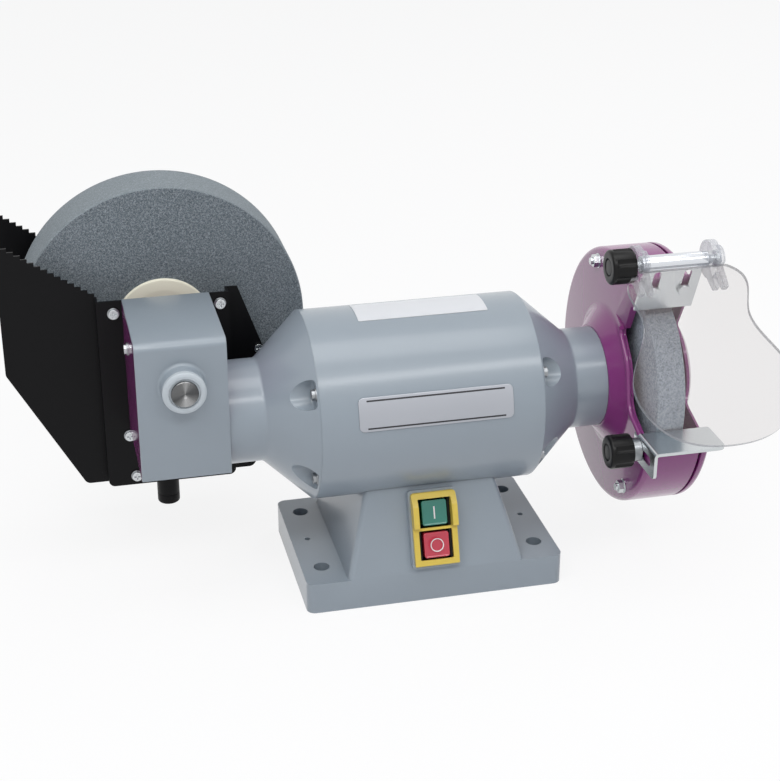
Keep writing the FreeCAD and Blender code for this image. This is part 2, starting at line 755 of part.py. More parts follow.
# Worm: trapezoid thread swept along a right-hand helix round its core.
axialPitch = math.pi * wormModule
wormTipR = wormPitchR + wormModule
wormRootR = wormPitchR - 1.25 * wormModule
flankTan = math.tan(math.radians(pressureAngle))
halfPitchThick = (axialPitch / 2 - wormBacklash) / 2
rootHalf = halfPitchThick + 1.35 * wormModule * flankTan
tipHalf = halfPitchThick - wormModule * flankTan
sweepR = wormRootR - 0.1 * wormModule
helixLength = wormLength + 2 * axialPitch
helix = Part.Wire(Part.makeHelix(axialPitch, helixLength, sweepR))
section = Part.makePolygon([V(sweepR, 0, -rootHalf), V(wormTipR, 0, -tipHalf), V(wormTipR, 0, tipHalf),
                            V(sweepR, 0, rootHalf), V(sweepR, 0, -rootHalf)])
thread = helix.makePipeShell([section], True, True)
turnsBack = math.ceil(helixLength / 2 / axialPitch) * axialPitch
# On the worm axis (its own Z), the thread crosses azimuth 0 at whole pitches from its start.
thread.translate(V(0, 0, -turnsBack))
wormLocal = Part.makeCylinder(wormRootR, helixLength, V(0, 0, -helixLength / 2)).fuse(thread)
wormLocal = wormLocal.common(Part.makeCylinder(wormTipR + 1, wormLength, V(0, 0, -wormLength / 2)))
wormLocal = wormLocal.cut(Part.makeCylinder(wormSeatR + seatGap, helixLength * 2, V(0, 0, -helixLength)))
# Its Z goes to +X and its azimuth 0 to +Z, where it meets the wheel.
wormTurn = FreeCAD.Rotation(V(0, 0, 1), V(0, -1, 0), V(1, 0, 0), "XYZ")
wormLocal.Placement = FreeCAD.Placement(V(spindleX, 0, motorZ), wormTurn)
save("worm", wormLocal)

reliefR = flangeR - 6
reliefDeep = 1.5
innerFlangeRightX = innerFlangeLeftX + innerFlangeThick
outerFlangeLeftX = dryRightX + blotterThick
innerFlange = tube("x", flangeR, dryBoreR, innerFlangeLeftX, innerFlangeRightX, 0, motorZ).cut(
    tube("x", reliefR, dryBoreR + 2, innerFlangeRightX - reliefDeep, innerFlangeRightX, 0, motorZ))
outerFlange = tube("x", flangeR, dryBoreR, outerFlangeLeftX, outerFlangeRightX, 0, motorZ).cut(
    tube("x", reliefR, dryBoreR + 2, outerFlangeLeftX, outerFlangeLeftX + reliefDeep, 0, motorZ))
save("wheel_flanges", innerFlange, outerFlange)
save("wheel_blotters", *[tube("x", flangeR + 3, dryBoreR, a, a + blotterThick, 0, motorZ)
                         for a in (dryLeftX - blotterThick, dryRightX)])
save("dry_wheel", tube("x", dryWheelR, dryBoreR, dryLeftX, dryRightX, 0, motorZ))
save("spindle_nut", hexagon("x", 24, outerFlangeRightX, outerFlangeRightX + spindleNutThick, 0, motorZ)
     .cut(cyl("x", dryBoreR, outerFlangeRightX - 1, shaftEndX, 0, motorZ)))

# Gear case and wet spindle.
caseBoxFrontY = caseFrontY + coverThick
caseBoxTopZ = caseTopZ - coverThick
case = box(caseLeftX, caseRightX, caseBoxFrontY, caseRearY, caseBottomZ, caseBoxTopZ)
case = case.cut(box(caseLeftX + caseWall, caseRightX - caseWall, caseBoxFrontY + caseWall,
                    caseRearY - caseWall, caseBottomZ + caseWall, caseBoxTopZ + 1))
bushBossR = bushR + 3
case = case.fuse([cyl("y", bushBossR, caseBoxFrontY, caseBoxFrontY + bushLength, spindleX, spindleZ),
                  cyl("y", bushBossR, caseRearY - bushLength, caseRearY, spindleX, spindleZ),
                  cyl("x", journalR + endBushWall + 3, caseLeftX, caseLeftX + caseWall + endBushLength,
                      0, motorZ)])
case = case.cut(cyl("y", bushR, caseBoxFrontY - 1, caseRearY + 1, spindleX, spindleZ))
case = case.cut(cyl("x", journalR + endBushWall, caseLeftX + caseWall, caseLeftX + 30, 0, motorZ))
case = case.cut(cyl("x", shaftSealR, caseRightX - 10, caseRightX + 1, 0, motorZ))
for degrees in neckScrewAngles:
    y, z = polar(neckScrewPitchR, degrees, 0, motorZ)
    case = case.cut(cyl("x", neckScrewR + clearHole, caseRightX - 10, caseRightX + 1, y, z))
sideScrewZ = spindleZ + 6.7
for x in (caseLeftX, caseRightX):
    case = case.cut(cyl("x", caseScrewR + clearHole, x - 5, x + 5, sideScrewY, sideScrewZ))
rearScrews = [(spindleX + sx * 21.0, caseBottomZ + up) for sx in (-1, 1) for up in (10, 36)]
for x, z in rearScrews:
    case = case.cut(cyl("y", caseScrewR, caseRearY - 10, caseRearY + 1, x, z))
save("gear_case", case.removeSplitter())

coverOutline = [(caseFrontY, caseBottomZ, 0), (caseFrontY, caseTopZ, 3), (caseRearY, caseTopZ, 0),
                (caseRearY, caseTopZ - coverThick, 0), (caseFrontY + coverThick, caseTopZ - coverThick, 0),
                (caseFrontY + coverThick, caseBottomZ, 0)]
lugThick = 4.0
cover = prism(coverOutline, "yz", caseLeftX, caseRightX)
cover = cover.fuse(cyl("y", noseR, caseFrontY - noseLength, caseFrontY + 0.01, spindleX, spindleZ))
cover = cover.cut(cyl("y", spindleR + 1, caseFrontY - 30, caseFrontY + 5, spindleX, spindleZ))
caseScrews = []
for wallX, inward in ((caseLeftX, 1), (caseRightX, -1)):
    lugX = wallX + inward * (caseWall + 0.1)
    lugEndX = lugX + inward * lugThick
    cover = cover.fuse(box(*sorted((lugX, lugEndX)), sideScrewY - 6, sideScrewY + 6, sideScrewZ - 7,
                           caseTopZ - coverThick + 0.01))
    cover = cover.cut(cyl("x", caseScrewR, *sorted((wallX - inward, lugEndX + inward)),
                          sideScrewY, sideScrewZ))
    caseScrews.append(screw("x", headR, headThick, caseScrewR - 0.05, wallX - inward * 0.02,
                            wallX + inward * (caseWall + 3), sideScrewY, sideScrewZ))
save("gear_case_cover", cover.removeSplitter())
save("gear_case_screws", *caseScrews)
caseMounts = [screw("x", headR, headThick, neckScrewR - 0.05, caseRightX - caseWall - 0.02,
                    caseRightX + bellWall, *polar(neckScrewPitchR, a, 0, motorZ)) for a in neckScrewAngles]
bushes = [tube("y", bushR - seatGap, spindleR + runningGap, a, a + bushLength, spindleX, spindleZ)
          for a in (caseBoxFrontY, caseRearY - bushLength)]
bushes.append(tube("x", journalR + endBushWall - seatGap, journalR + runningGap, caseLeftX + caseWall + 0.1,
                   caseLeftX + caseWall + endBushLength, 0, motorZ))
save("case_bushes", *bushes)
sealFrontY = caseFrontY - noseLength - sealThick
save("spindle_seal", tube("y", noseR, spindleR + 0.5, sealFrontY, sealFrontY + sealThick,
                          spindleX, spindleZ))
save("shaft_seal", tube("x", shaftSealR - 0.2, bearingSeatR + runningGap, caseRightX - caseWall,
                        caseRightX - 0.1, 0, motorZ))

spindleFrontY = sealFrontY - spindleCapThick - 0.2
spindleBackY = wetWheelBackY + hubFlangeThick + wetNutThick + 1
shoulderR = 12.0
shoulderLength = 6.0
wheelShoulderY = wetWheelFrontY - hubFlangeThick
gearHubLength = 20.0
gearHubR = 14.0
spindleCollarR = 9.5
spindle = cyl("y", spindleR, spindleFrontY, spindleBackY, spindleX, spindleZ)
for r, a, b in ((spindleCapR, spindleFrontY, spindleFrontY + spindleCapThick),
                (shoulderR, wheelShoulderY - shoulderLength, wheelShoulderY),
                (spindleCollarR, gearHubLength / 2, caseRearY - bushLength - 0.3)):
    spindle = spindle.fuse(cyl("y", r, a, b, spindleX, spindleZ))
save("wet_spindle", spindle.removeSplitter())

wheelPitchR = wormModule * wormTeeth / 2
wheelTipR = wheelPitchR + wormModule
wheelRootR = wheelPitchR - 1.25 * wormModule
baseR = wheelPitchR * math.cos(math.radians(pressureAngle))


def involute(angle):
    return math.tan(angle) - angle


# Half the angle that a wheel tooth spans at radius r, less its share of the backlash.
def toothHalfAngle(r):
    atPitch = math.pi / 2 / wormTeeth - wormBacklash / 2 / wheelPitchR
    here = math.acos(min(1.0, baseR / r))
    return atPitch + involute(math.radians(pressureAngle)) - involute(here)


flankSteps = 4
flankLowR = baseR + 0.05
flankRadii = [flankLowR + (wheelTipR - flankLowR) * i / flankSteps for i in range(flankSteps + 1)]


# Tooth outline of the wheel at y, turned by a helix angle; a gap points straight down.
def wheelWire(y, turn):
    points = []
    for i in range(wormTeeth):
        centre = -math.pi / 2 + (i + 0.5) * 2 * math.pi / wormTeeth - turn
        rising = [(wheelRootR, centre - toothHalfAngle(flankLowR))]
        rising += [(r, centre - toothHalfAngle(r)) for r in flankRadii]
        falling = [(r, centre + toothHalfAngle(r)) for r in reversed(flankRadii)]
        falling += [(wheelRootR, centre + toothHalfAngle(flankLowR))]
        for r, a in rising + falling:
            points.append(V(spindleX + r * math.cos(a), y, spindleZ + r * math.sin(a)))
    return Part.makePolygon(points + [points[0]])


leadTan = wormModule / (2 * wormPitchR)
wheelTwist = gearFace * leadTan / wheelPitchR
gearEnds = [wheelWire(s * gearFace / 2, s * wheelTwist / 2) for s in (-1, 1)]
gear = Part.makeLoft(gearEnds, True, True)
gear = gear.fuse(cyl("y", gearHubR, -gearHubLength / 2, gearHubLength / 2 - 0.05, spindleX, spindleZ))
gear = gear.cut(cyl("y", spindleR + seatGap, -gearHubLength, gearHubLength, spindleX, spindleZ))
save("worm_wheel", gear)

save("wet_wheel", tube("y", wetWheelR, spindleR + seatGap, wetWheelFrontY, wetWheelBackY, spindleX, spindleZ))
save("hub_flanges", *[tube("y", hubR, spindleR + seatGap, a, a + hubFlangeThick, spindleX, spindleZ)
                      for a in (wetWheelFrontY - hubFlangeThick, wetWheelBackY)])
wetNutY = wetWheelBackY + hubFlangeThick
save("wet_wheel_nut", hexagon("y", wetNutFlats, wetNutY, wetNutY + wetNutThick, spindleX, spindleZ)
     .cut(cyl("y", spindleR + seatGap, wetNutY - 1, wetNutY + wetNutThick + 1, spindleX, spindleZ)))

# Water tank.
stepX = (tankPadLeftX - tankLeftX) / serrationCount
stepZ = serrationRise / serrationCount
stairs = []
for i in range(serrationCount):
    x, z = tankPadLeftX - stepX * i, tankTopZ + stepZ * i
    stairs += [(x, z), (x, z + stepZ)]
wallOutline = [(tankLeftFootX, tankBottomZ, 5), (tankRightFootX, tankBottomZ, 5),
               (tankRightX, tankRightLowZ, 3), (tankRightX, tankRightHighZ, 3),
               (tankRightTabX, tankTopZ)] + stairs
wallOutline += [(tankLeftX, serrationTopZ), (tankLeftX, tankLeftEndZ, 5)]
troughOutline = [(tankLeftX, tankEndWallZ), (tankLeftX, tankLeftEndZ, 5), (tankLeftFootX, tankBottomZ, 5),
                 (tankRightFootX, tankBottomZ, 5), (tankRightX, tankRightLowZ, 3),
                 (tankRightX, tankRightWallZ)]
frontPlate = prism(wallOutline, "xz", tankMidFrontY, tankMidFrontY + tankSheet)
rearPlate = prism(wallOutline, "xz", tankBackY - tankSheet, tankBackY)
troughFace = Part.Face(outline(troughOutline, "xz", tankMidFrontY))
inside = troughFace.makeOffset2D(-tankSheet)
troughDepth = tankBackY - tankMidFrontY
troughInside = inside.extrude(V(0, troughDepth, 0))
insideUp = troughInside.copy()
insideUp.translate(V(0, 0, 4 * tankSheet))
trough = troughFace.extrude(V(0, troughDepth, 0)).cut(troughInside.fuse(insideUp))
padDepth = tankStep + tankSheet


# Front pad of the tank with rounded lower corners, moved in by inset, up to topZ.
def padForm(inset, topZ, a, b):
    left, right, low = tankPadLeftX + inset, tankPadRightX - inset, tankBottomZ + inset
    corner = padCornerR - inset
    return prism([(left, topZ), (left, low, corner), (right, low, corner), (right, topZ)], "xz", a, b)


pad = padForm(0, tankTopZ, tankFrontY, tankFrontY + padDepth)
padInside = padForm(tankSheet, tankTopZ + 1, tankFrontY + tankSheet, tankFrontY + padDepth + 1)
frontPlate = frontPlate.cut(padInside)
drainY = (wetWheelFrontY + wetWheelBackY) / 2
spoutLowZ = tankBottomZ - drainLength
spout = Part.makeCone(drainR - drainTaper, drainR, drainLength, V(drainX, drainY, spoutLowZ))
tank = join([frontPlate, rearPlate, trough, pad.cut(padInside), spout])
slotBackY = tankFrontY + padDepth + 4
spindleSlot = cyl("y", slotR, tankFrontY - 1, slotBackY, spindleX, spindleZ).fuse(
    box(spindleX - slotR, spindleX + slotR, tankFrontY - 1, slotBackY, spindleZ, tankTopZ + 5))
tank = tank.cut(spindleSlot)
tank = tank.cut(cyl("z", drainBoreR, spoutLowZ - 1, tankBottomZ + 5, drainX, drainY))
tankScrews = [(tankPadLeftX + 11.4, tankTopZ - 9), (tankPadRightX - 6.3, tankTopZ - 8),
              (caseLeftX - 0.6, caseBottomZ - 5.2), (caseRightX + 0.6, caseBottomZ - 5.2),
              (caseLeftX + 2.5, tankBottomZ + 7), (caseRightX - 2.5, tankBottomZ + 7)]
plateThick = 3.0
plateFrontY = tankFrontY + tankSheet
plateBackY = plateFrontY + plateThick
mountPlate = box(tankPadLeftX + 4, tankPadRightX - 3, plateFrontY, plateBackY,
                 tankBottomZ + 3, tankTopZ - 3)
mountPlate = mountPlate.cut(spindleSlot)
for x, z in tankScrews:
    tank = tank.cut(cyl("y", tankScrewR + clearHole, tankFrontY - 1, plateFrontY + 1, x, z))
    mountPlate = mountPlate.cut(cyl("y", tankScrewR, plateFrontY - 1, plateBackY + 1, x, z))
for x, z in rearScrews:
    tank = tank.cut(cyl("y", caseScrewR + clearHole, tankFrontY - 1, plateFrontY + 1, x, z))
    mountPlate = mountPlate.cut(cyl("y", caseScrewR + clearHole, plateFrontY - 1, plateBackY + 1, x, z))
stayX = tankRightTabX + 13.5
stayZ = spindleZ - 18.3
tank = tank.cut(cyl("y", tankScrewR + clearHole, tankMidFrontY - 1, tankMidFrontY + tankSheet + 1,
                    stayX, stayZ))
save("water_tank", tank.removeSplitter())
save("tank_mount_plate", mountPlate)
stayNutY = tankMidFrontY + tankSheet
stay = [screw("y", stayHeadR, stayHeadThick, tankScrewR - 0.05, tankMidFrontY - 0.02, stayNutY + 6,
              stayX, stayZ),
        hexagon("y", stayNutFlats, stayNutY + 0.1, stayNutY + 3.2, stayX, stayZ)
        .cut(cyl("y", tankScrewR, tankMidFrontY, stayNutY + 10, stayX, stayZ))]
frontScrews = [screw("y", tankHeadR, headThick, tankScrewR - 0.05, tankFrontY - 0.02, plateBackY + 1.5, x, z)
               for x, z in tankScrews]
backScrews = [screw("y", headR, headThick, caseScrewR - 0.05, plateBackY + 0.02, caseRearY - caseWall, x, z)
              for x, z in rearScrews]
save("tank_screws", *frontScrews, *stay, *backScrews)
plugHead = 7.5
plugForm = Part.makeCone(drainR - 1.2 * drainTaper, drainR - drainTaper, plugHead - 0.1,
                         V(drainX, drainY, spoutLowZ - plugHead))
save("drain_plug", plugForm.fuse(
    cyl("z", drainBoreR - runningGap, spoutLowZ - 0.2, spoutLowZ + 12, drainX, drainY)).removeSplitter())

# Guard of the dry wheel.
sparkDown = V(0, sparkLowY - rodY, sparkLowZ - rodZ).normalize()
sparkFront = V(0, sparkDown.z, -sparkDown.y)
restBottomZ = restZ - restSheet
mouthLow = restBottomZ - 1.0 - motorZ


# Point on the spark plate's plane: along it from the rod, and off it towards the front.
def onSpark(along, off):
    p = V(0, rodY, rodZ) + sparkDown * along + sparkFront * off
    return p.y, p.z


mouthBack = -(sparkSheet / 2 + 0.1)
plateLength = math.hypot(sparkLowY - rodY, sparkLowZ - rodZ)
bossTop = polar(guardBossR + 2, 121, 0, motorZ)
bossShoulder = polar(guardBossR + 2, 149, 0, motorZ)
mouthTop = onSpark(-14, mouthBack)
mouthOutY = -guardR - 40
mouthPoints = [mouthTop, onSpark(plateLength - 1, mouthBack) + (2,), onSpark(plateLength + 5, -7.6) + (4,),
               bossTop + (5,), bossShoulder + (25,), (-guardBossR - 1.5, motorZ - 4, 14),
               (-dryWheelR - 2, motorZ + mouthLow, 4), (mouthOutY, motorZ + mouthLow),
               (mouthOutY, mouthTop[1])]
mouth = prism(mouthPoints, "yz", guardDiscX - 3, coverDiscX + 5)
guardEdge = guardDiscX + mouthRimDepth


# Circular edges of radius r about the motor axis in the plane at x.
def circlesAt(solid, x, r):
    flat = [e for e in solid.Edges if max(abs(e.BoundBox.XMin - x), abs(e.BoundBox.XMax - x)) < 0.01]
    return [e for e in flat if abs(e.BoundBox.YMax - r) < 0.01]


# Drawn cup, open on the right: disc with a hub boss, rounded corner and band.
def cupForm(inset, endX):
    r = guardR - inset
    left = guardDiscX + inset
    solid = turned([(rightNeckEndX + inset, 0), (rightNeckEndX + inset, neckR + 1.5 - inset * 0.6),
                    (left, guardBossR - inset * 0.6), (left, r), (endX, r), (endX, 0)])
    return solid.makeFillet(guardCornerR - inset, circlesAt(solid, left, r))


# Outer cover: shallow pan with a hub boss and a lip that goes inside the band.
def panForm(inset, startX):
    r = guardR - inset
    lipR = guardR - guardSheet - lipGap - inset
    right = coverDiscX - inset
    step = guardBandEndX + coverGroove + inset
    solid = turned([(startX, 0), (startX, lipR), (step, lipR), (step, r), (right, r),
                    (right, coverBossFootR - inset * 0.6),
                    (right + coverBossDepth, coverBossR - inset * 0.6), (right + coverBossDepth, 0)])
    return solid.makeFillet(coverCornerR - inset, circlesAt(solid, right, r))


lipStartX = guardBandEndX - coverLipLength
cup = cupForm(0, guardBandEndX).cut(cupForm(guardSheet, guardBandEndX + 5))
mouthFace = Part.Face(outline(mouthPoints, "yz", guardDiscX + 0.4))
rimOuter = mouthFace.makeOffset2D(guardSheet).extrude(V(mouthRimDepth - 0.4, 0, 0))
rim = rimOuter.common(cyl("x", guardR - guardSheet / 2, guardDiscX, guardEdge, 0, motorZ))
tabHalf = 16.5
tabLow = plateLength - 5
tabHigh = 16.0
tab = prism([onSpark(tabHigh, mouthBack), onSpark(tabLow, mouthBack), onSpark(tabLow, mouthBack - 2),
             onSpark(tabHigh, mouthBack - 2)], "yz", sparkCentreX - tabHalf, sparkCentreX + tabHalf)
tab = tab.cut(panForm(-clearHole, lipStartX - clearHole))
guard = cup.fuse([rim, tab]).cut(mouth)
guard = guard.cut(cyl("x", shaftSealR, rightNeckEndX - 5, rightNeckEndX + 5, 0, motorZ))
for degrees in neckScrewAngles:
    y, z = polar(neckScrewPitchR, degrees, 0, motorZ)
    guard = guard.cut(cyl("x", neckScrewR + clearHole, rightNeckEndX - 5, rightNeckEndX + 5, y, z))
for degrees in guardBoltAngles:
    y, z = polar(guardBoltR, degrees, 0, motorZ)
    guard = guard.cut(cyl("x", guardBoltShankR + clearHole, guardDiscX - 3, guardDiscX + 6, y, z))
guard = guard.cut(cyl("x", studR + clearHole, guardDiscX - 3, guardDiscX + 6, restStudY, restStudZ))
slotUp = 10.8
screwAlong = 25.0
sparkScrewX = [sparkCentreX + s * sparkScrewHalf for s in (-1, 1)]
tabScrewR = 2.4


# Cylinder square to the spark plate between two offsets from its plane.
def sparkCyl(r, x, along, low, high):
    y, z = onSpark(along, low)
    return Part.makeCylinder(r, high - low, V(x, y, z), sparkFront)


for x in sparkScrewX:
    guard = guard.cut(sparkCyl(tabScrewR, x, screwAlong, -6, 2))
save("guard_inner", guard.removeSplitter())
guardMounts = [screw("x", headR, headThick, neckScrewR - 0.05, rightNeckEndX + guardSheet + 0.02,
                     rightNeckEndX - bellWall, *polar(neckScrewPitchR, a, 0, motorZ))
               for a in neckScrewAngles]
save("neck_screws", *caseMounts, *guardMounts)
pan = panForm(0, lipStartX).cut(panForm(guardSheet, lipStartX - 5))
pan = pan.cut(mouth)
for degrees in guardBoltAngles:
    y, z = polar(guardBoltR, degrees, 0, motorZ)
    pan = pan.cut(cyl("x", guardBoltShankR + clearHole, coverDiscX - 10, coverDiscX + 10, y, z))
save("guard_cover", pan.removeSplitter())
boltPieces = []
for degrees in guardBoltAngles:
    y, z = polar(guardBoltR, degrees, 0, motorZ)
    nut = hexagon("x", nutFlats, guardDiscX - nutThick - 0.6, guardDiscX - 0.6, y, z).fuse(
        cyl("x", nutWasherR, guardDiscX - 0.7, guardDiscX - 0.05, y, z))
    boltPieces += [screw("x", guardHeadR, guardHeadThick, guardBoltShankR, coverDiscX + 0.02,
                         guardDiscX - boltTip, y, z),
                   nut.cut(cyl("x", guardBoltShankR + seatGap, guardDiscX - 2 * nutThick, guardDiscX + 1,
                               y, z)),
                   tube("x", spacerR, guardBoltShankR + clearHole, guardDiscX + guardSheet + 0.1,
                        coverDiscX - guardSheet - 0.1, y, z)]
save("guard_bolts", *boltPieces)

# Tool rest.


# Fluted knob along X with its right end given, bored from there for a stud.
def knob(right, y, z, boreR):
    left = right - knobLength
    body = cyl("x", knobR, left, right, y, z)
    rims = [e for e in body.Edges if abs(e.BoundBox.XLength) < 1e-6]
    body = body.makeFillet(knobRound, rims)
    for i in range(knobFlutes):
        u, v = polar(knobR + fluteOut, 360 / knobFlutes * (i + 0.5), y, z)
        body = body.cut(cyl("x", fluteR, left + 3, right + 1, u, v))
    return body.cut(cyl("x", boreR, right - knobBoreDepth - 1, right + 1, y, z))


restFlangeRightX = guardDiscX - 0.3
restFlangeLeftX = restFlangeRightX - restSheet
restRearEdge = -dryWheelR - restGap
restFrontY = restRearEdge - restDepth
flangeRearY = restStudY + studR + 0.3 + restTravelOut + 2.5
restSlotRearY = restStudY + restTravelOut + studR + 0.3
restSlotFrontY = restFrontY + 7
restPlate = prism([(restFlangeLeftX, restFrontY, 2), (restFlangeLeftX + restWidth, restFrontY, 5),
                   (restFlangeLeftX + restWidth, restRearEdge, 2), (restFlangeLeftX, restRearEdge)],
                  "xy", restBottomZ, restZ)
restFlange = prism([(restFrontY, restZ), (flangeRearY, restZ), (flangeRearY, restZ - restFlangeDrop, 4),
                    (restFrontY, restZ - restFlangeDrop, 4)], "yz", restFlangeLeftX, restFlangeRightX)
slotLow, slotHigh = restStudZ - studR - 0.3, restStudZ + studR + 0.3
restSlot = prism([(restSlotRearY, slotLow, 3), (restSlotRearY, slotHigh, 3), (restSlotFrontY, slotHigh, 3),
                  (restSlotFrontY, slotLow, 3)], "yz", restFlangeLeftX - 1, restFlangeRightX + 1)
save("tool_rest", restPlate.fuse(restFlange).cut(restSlot).removeSplitter())
restCollarX = restFlangeLeftX - 0.05
knobRightX = restCollarX - collarThick
collar = tube("x", collarR, studR + 0.1, knobRightX, restCollarX, restStudY, restStudZ)
save("tool_rest_knob", knob(knobRightX - 0.05, restStudY, restStudZ, studR + runningGap))
studNutX = guardDiscX + guardSheet + 0.05
stud = hexagon("x", nutFlats, studNutX, studNutX + nutThick, restStudY, restStudZ).fuse(
    cyl("x", studR, knobRightX - knobBoreDepth, studNutX + nutThick, restStudY, restStudZ))
save("tool_rest_stud", stud.removeSplitter(), collar)

# Spark plate, rod and eye shield.
rodLeftX = rodCentreX - rodLength / 2
rodRightX = rodCentreX + rodLength / 2
sparkLeftX = sparkCentreX - sparkWidth / 2
half = sparkSheet / 2
sparkPlate = prism([onSpark(rodR + 0.05, half), onSpark(plateLength, half), onSpark(plateLength, -half),
                    onSpark(rodR + 0.05, -half)], "yz", sparkLeftX, sparkLeftX + sparkWidth)
screwFit = tabScrewR + clearHole
slotEnd = screwAlong - sparkTravel - slotUp
slotCorners = [onSpark(a, b) for a, b in ((screwAlong, 3), (slotEnd, 3), (slotEnd, -3), (screwAlong, -3))]
sparkScrews = []
for x in sparkScrewX:
    slotPath = [sparkCyl(screwFit, x, along, -3, 3) for along in (screwAlong, slotEnd)]
    slotPath.append(prism(slotCorners, "yz", x - screwFit, x + screwFit))
    sparkPlate = sparkPlate.cut(join(slotPath))
    shank = sparkCyl(tabScrewR - 0.05, x, screwAlong, -5.5, half + 1)
    sparkScrews.append(sparkCyl(4.4, x, screwAlong, half + 0.05, half + 2.6).fuse(shank).removeSplitter())
    sparkScrews.append(sparkCyl(4.0, x, screwAlong, mouthBack - 5.2, mouthBack - 2.1).cut(
        sparkCyl(tabScrewR, x, screwAlong, -9, 3)))
save("spark_plate", sparkPlate)
save("spark_plate_screws", *sparkScrews)
save("shield_rod", tube("x", rodR, rodBoltR + 0.3, rodLeftX, rodRightX, rodY, rodZ))
clampGap = 0.1
clampLeftX = rodLeftX - clampGap - clampEarThick
clampRightX = rodRightX + clampGap
boltHeadThick = 3.5
boltHeadFlats = 9.0
shieldKnobRightX = clampLeftX - 0.15
boltHeadX = clampRightX + clampEarThick + clampGap
shieldBolt = cyl("x", rodBoltR, shieldKnobRightX - knobBoreDepth, boltHeadX + 1, rodY, rodZ).fuse(
    hexagon("x", boltHeadFlats, boltHeadX, boltHeadX + boltHeadThick, rodY, rodZ))
save("shield_bolt", shieldBolt.removeSplitter())
save("shield_knob", knob(shieldKnobRightX, rodY, rodZ, rodBoltR + runningGap))

tilt = math.radians(shieldTilt)
shieldDown = V(0, -math.sin(tilt), -math.cos(tilt))
shieldOut = V(0, -math.cos(tilt), math.sin(tilt))


def onShield(down, out):
    p = V(0, rodY, rodZ) + shieldDown * down + shieldOut * out
    return p.y, p.z


# Each clamp is an ear, a hub that takes the end of the rod or the head of the bolt, and a forked tail.
clampShape = [onShield(0, -clampR + 2) + (4,), onShield(clampTail, -5) + (3,),
              onShield(clampTail, shieldInner), onShield(0, shieldInner)]
forkShape = [onShield(forkStart, -clampR), onShield(clampTail + 1, -clampR),
             onShield(clampTail + 1, clampR), onShield(forkStart, clampR)]
seatTop, seatLow = shieldTopDown - 0.5, clampTail + 20
seatShape = [onShield(seatTop, shieldInner - 0.02), onShield(seatLow, shieldInner - 0.02),
             onShield(seatLow, 30), onShield(seatTop, 30)]
clamps = []
for left in (clampLeftX, clampRightX):
    right = left + clampThick
    hubLeft = left + clampEarThick
    forkLeft = (left + right - forkGap) / 2
    clamp = cyl("x", clampR, left, hubLeft, rodY, rodZ).fuse(
        [cyl("x", clampHubR, hubLeft, right, rodY, rodZ), prism(clampShape, "yz", left, right)])
    for cutter in (prism(seatShape, "yz", left - 1, right + 1),
                   prism(forkShape, "yz", forkLeft, forkLeft + forkGap),
                   cyl("x", rodBoltR + runningGap, left - 1, right + 1, rodY, rodZ),
                   cyl("x", rodR + clampGap, hubLeft, right + 1, rodY, rodZ)):
        clamp = clamp.cut(cutter)
    clamps.append(clamp.removeSplitter())
save("shield_clamps", *clamps)

# Outline of the shield: half widths at distances down from the rod, joined by one smooth curve.
halfOutline = [(shieldTopHalf, shieldTopDown), (shieldLobeHalf, shieldLobeDown),
               (shieldWaistHalf, shieldWaistDown),
               ((shieldWaistHalf + shieldSkirtHalf) / 2 - 1, (shieldWaistDown + shieldSkirtDown) / 2 - 1),
               (shieldSkirtHalf, shieldSkirtDown), (shieldSkirtHalf * 0.72, shieldLength - 11.5),
               (0, shieldLength)]


def shieldPoint(across, down):
    y, z = onShield(down, shieldInner)
    return V(shieldCentreX + across, y, z)


rightSide = [shieldPoint(a, d) for a, d in halfOutline]
leftSide = [shieldPoint(-a, d) for a, d in reversed(halfOutline[:-1])]
edgeCurve = Part.BSplineCurve()
edgeCurve.interpolate(rightSide + leftSide)
topLine = Part.makeLine(leftSide[-1], rightSide[0])
shieldFace = Part.Face(Part.Wire([edgeCurve.toShape(), topLine]))
knobRelief = cyl("x", knobR + knobClearance, shieldKnobRightX - 2 * knobLength,
                 shieldKnobRightX + knobClearance, rodY, rodZ)
save("eye_shield", shieldFace.extrude(shieldOut * shieldSheet).cut(knobRelief))
print(len(os.listdir("parts")), "nodes")
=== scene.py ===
import json
import math

import bmesh
import bpy
from mathutils import Matrix, Quaternion, Vector

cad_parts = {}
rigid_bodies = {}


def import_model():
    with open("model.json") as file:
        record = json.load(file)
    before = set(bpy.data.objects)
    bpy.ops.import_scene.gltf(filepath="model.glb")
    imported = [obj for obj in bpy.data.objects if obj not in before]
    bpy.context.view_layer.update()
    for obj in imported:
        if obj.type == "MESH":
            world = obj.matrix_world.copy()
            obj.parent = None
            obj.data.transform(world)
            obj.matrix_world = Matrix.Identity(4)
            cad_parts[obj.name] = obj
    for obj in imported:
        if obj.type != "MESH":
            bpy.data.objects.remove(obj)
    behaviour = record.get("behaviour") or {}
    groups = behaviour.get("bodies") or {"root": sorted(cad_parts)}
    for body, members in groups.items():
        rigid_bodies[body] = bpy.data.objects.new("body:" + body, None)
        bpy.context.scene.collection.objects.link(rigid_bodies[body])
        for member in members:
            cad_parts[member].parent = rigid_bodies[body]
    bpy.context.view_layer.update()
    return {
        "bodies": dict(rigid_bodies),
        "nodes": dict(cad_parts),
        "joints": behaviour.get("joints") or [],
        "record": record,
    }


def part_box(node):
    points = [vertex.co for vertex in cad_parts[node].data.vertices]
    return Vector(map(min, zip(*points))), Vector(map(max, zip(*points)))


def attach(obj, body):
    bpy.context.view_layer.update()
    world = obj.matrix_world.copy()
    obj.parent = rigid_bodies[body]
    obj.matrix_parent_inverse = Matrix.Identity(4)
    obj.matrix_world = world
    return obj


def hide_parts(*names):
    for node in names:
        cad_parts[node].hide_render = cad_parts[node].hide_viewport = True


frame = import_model()
nodes = frame["nodes"]
record = frame["record"]
scene = bpy.context.scene
mm = 0.001
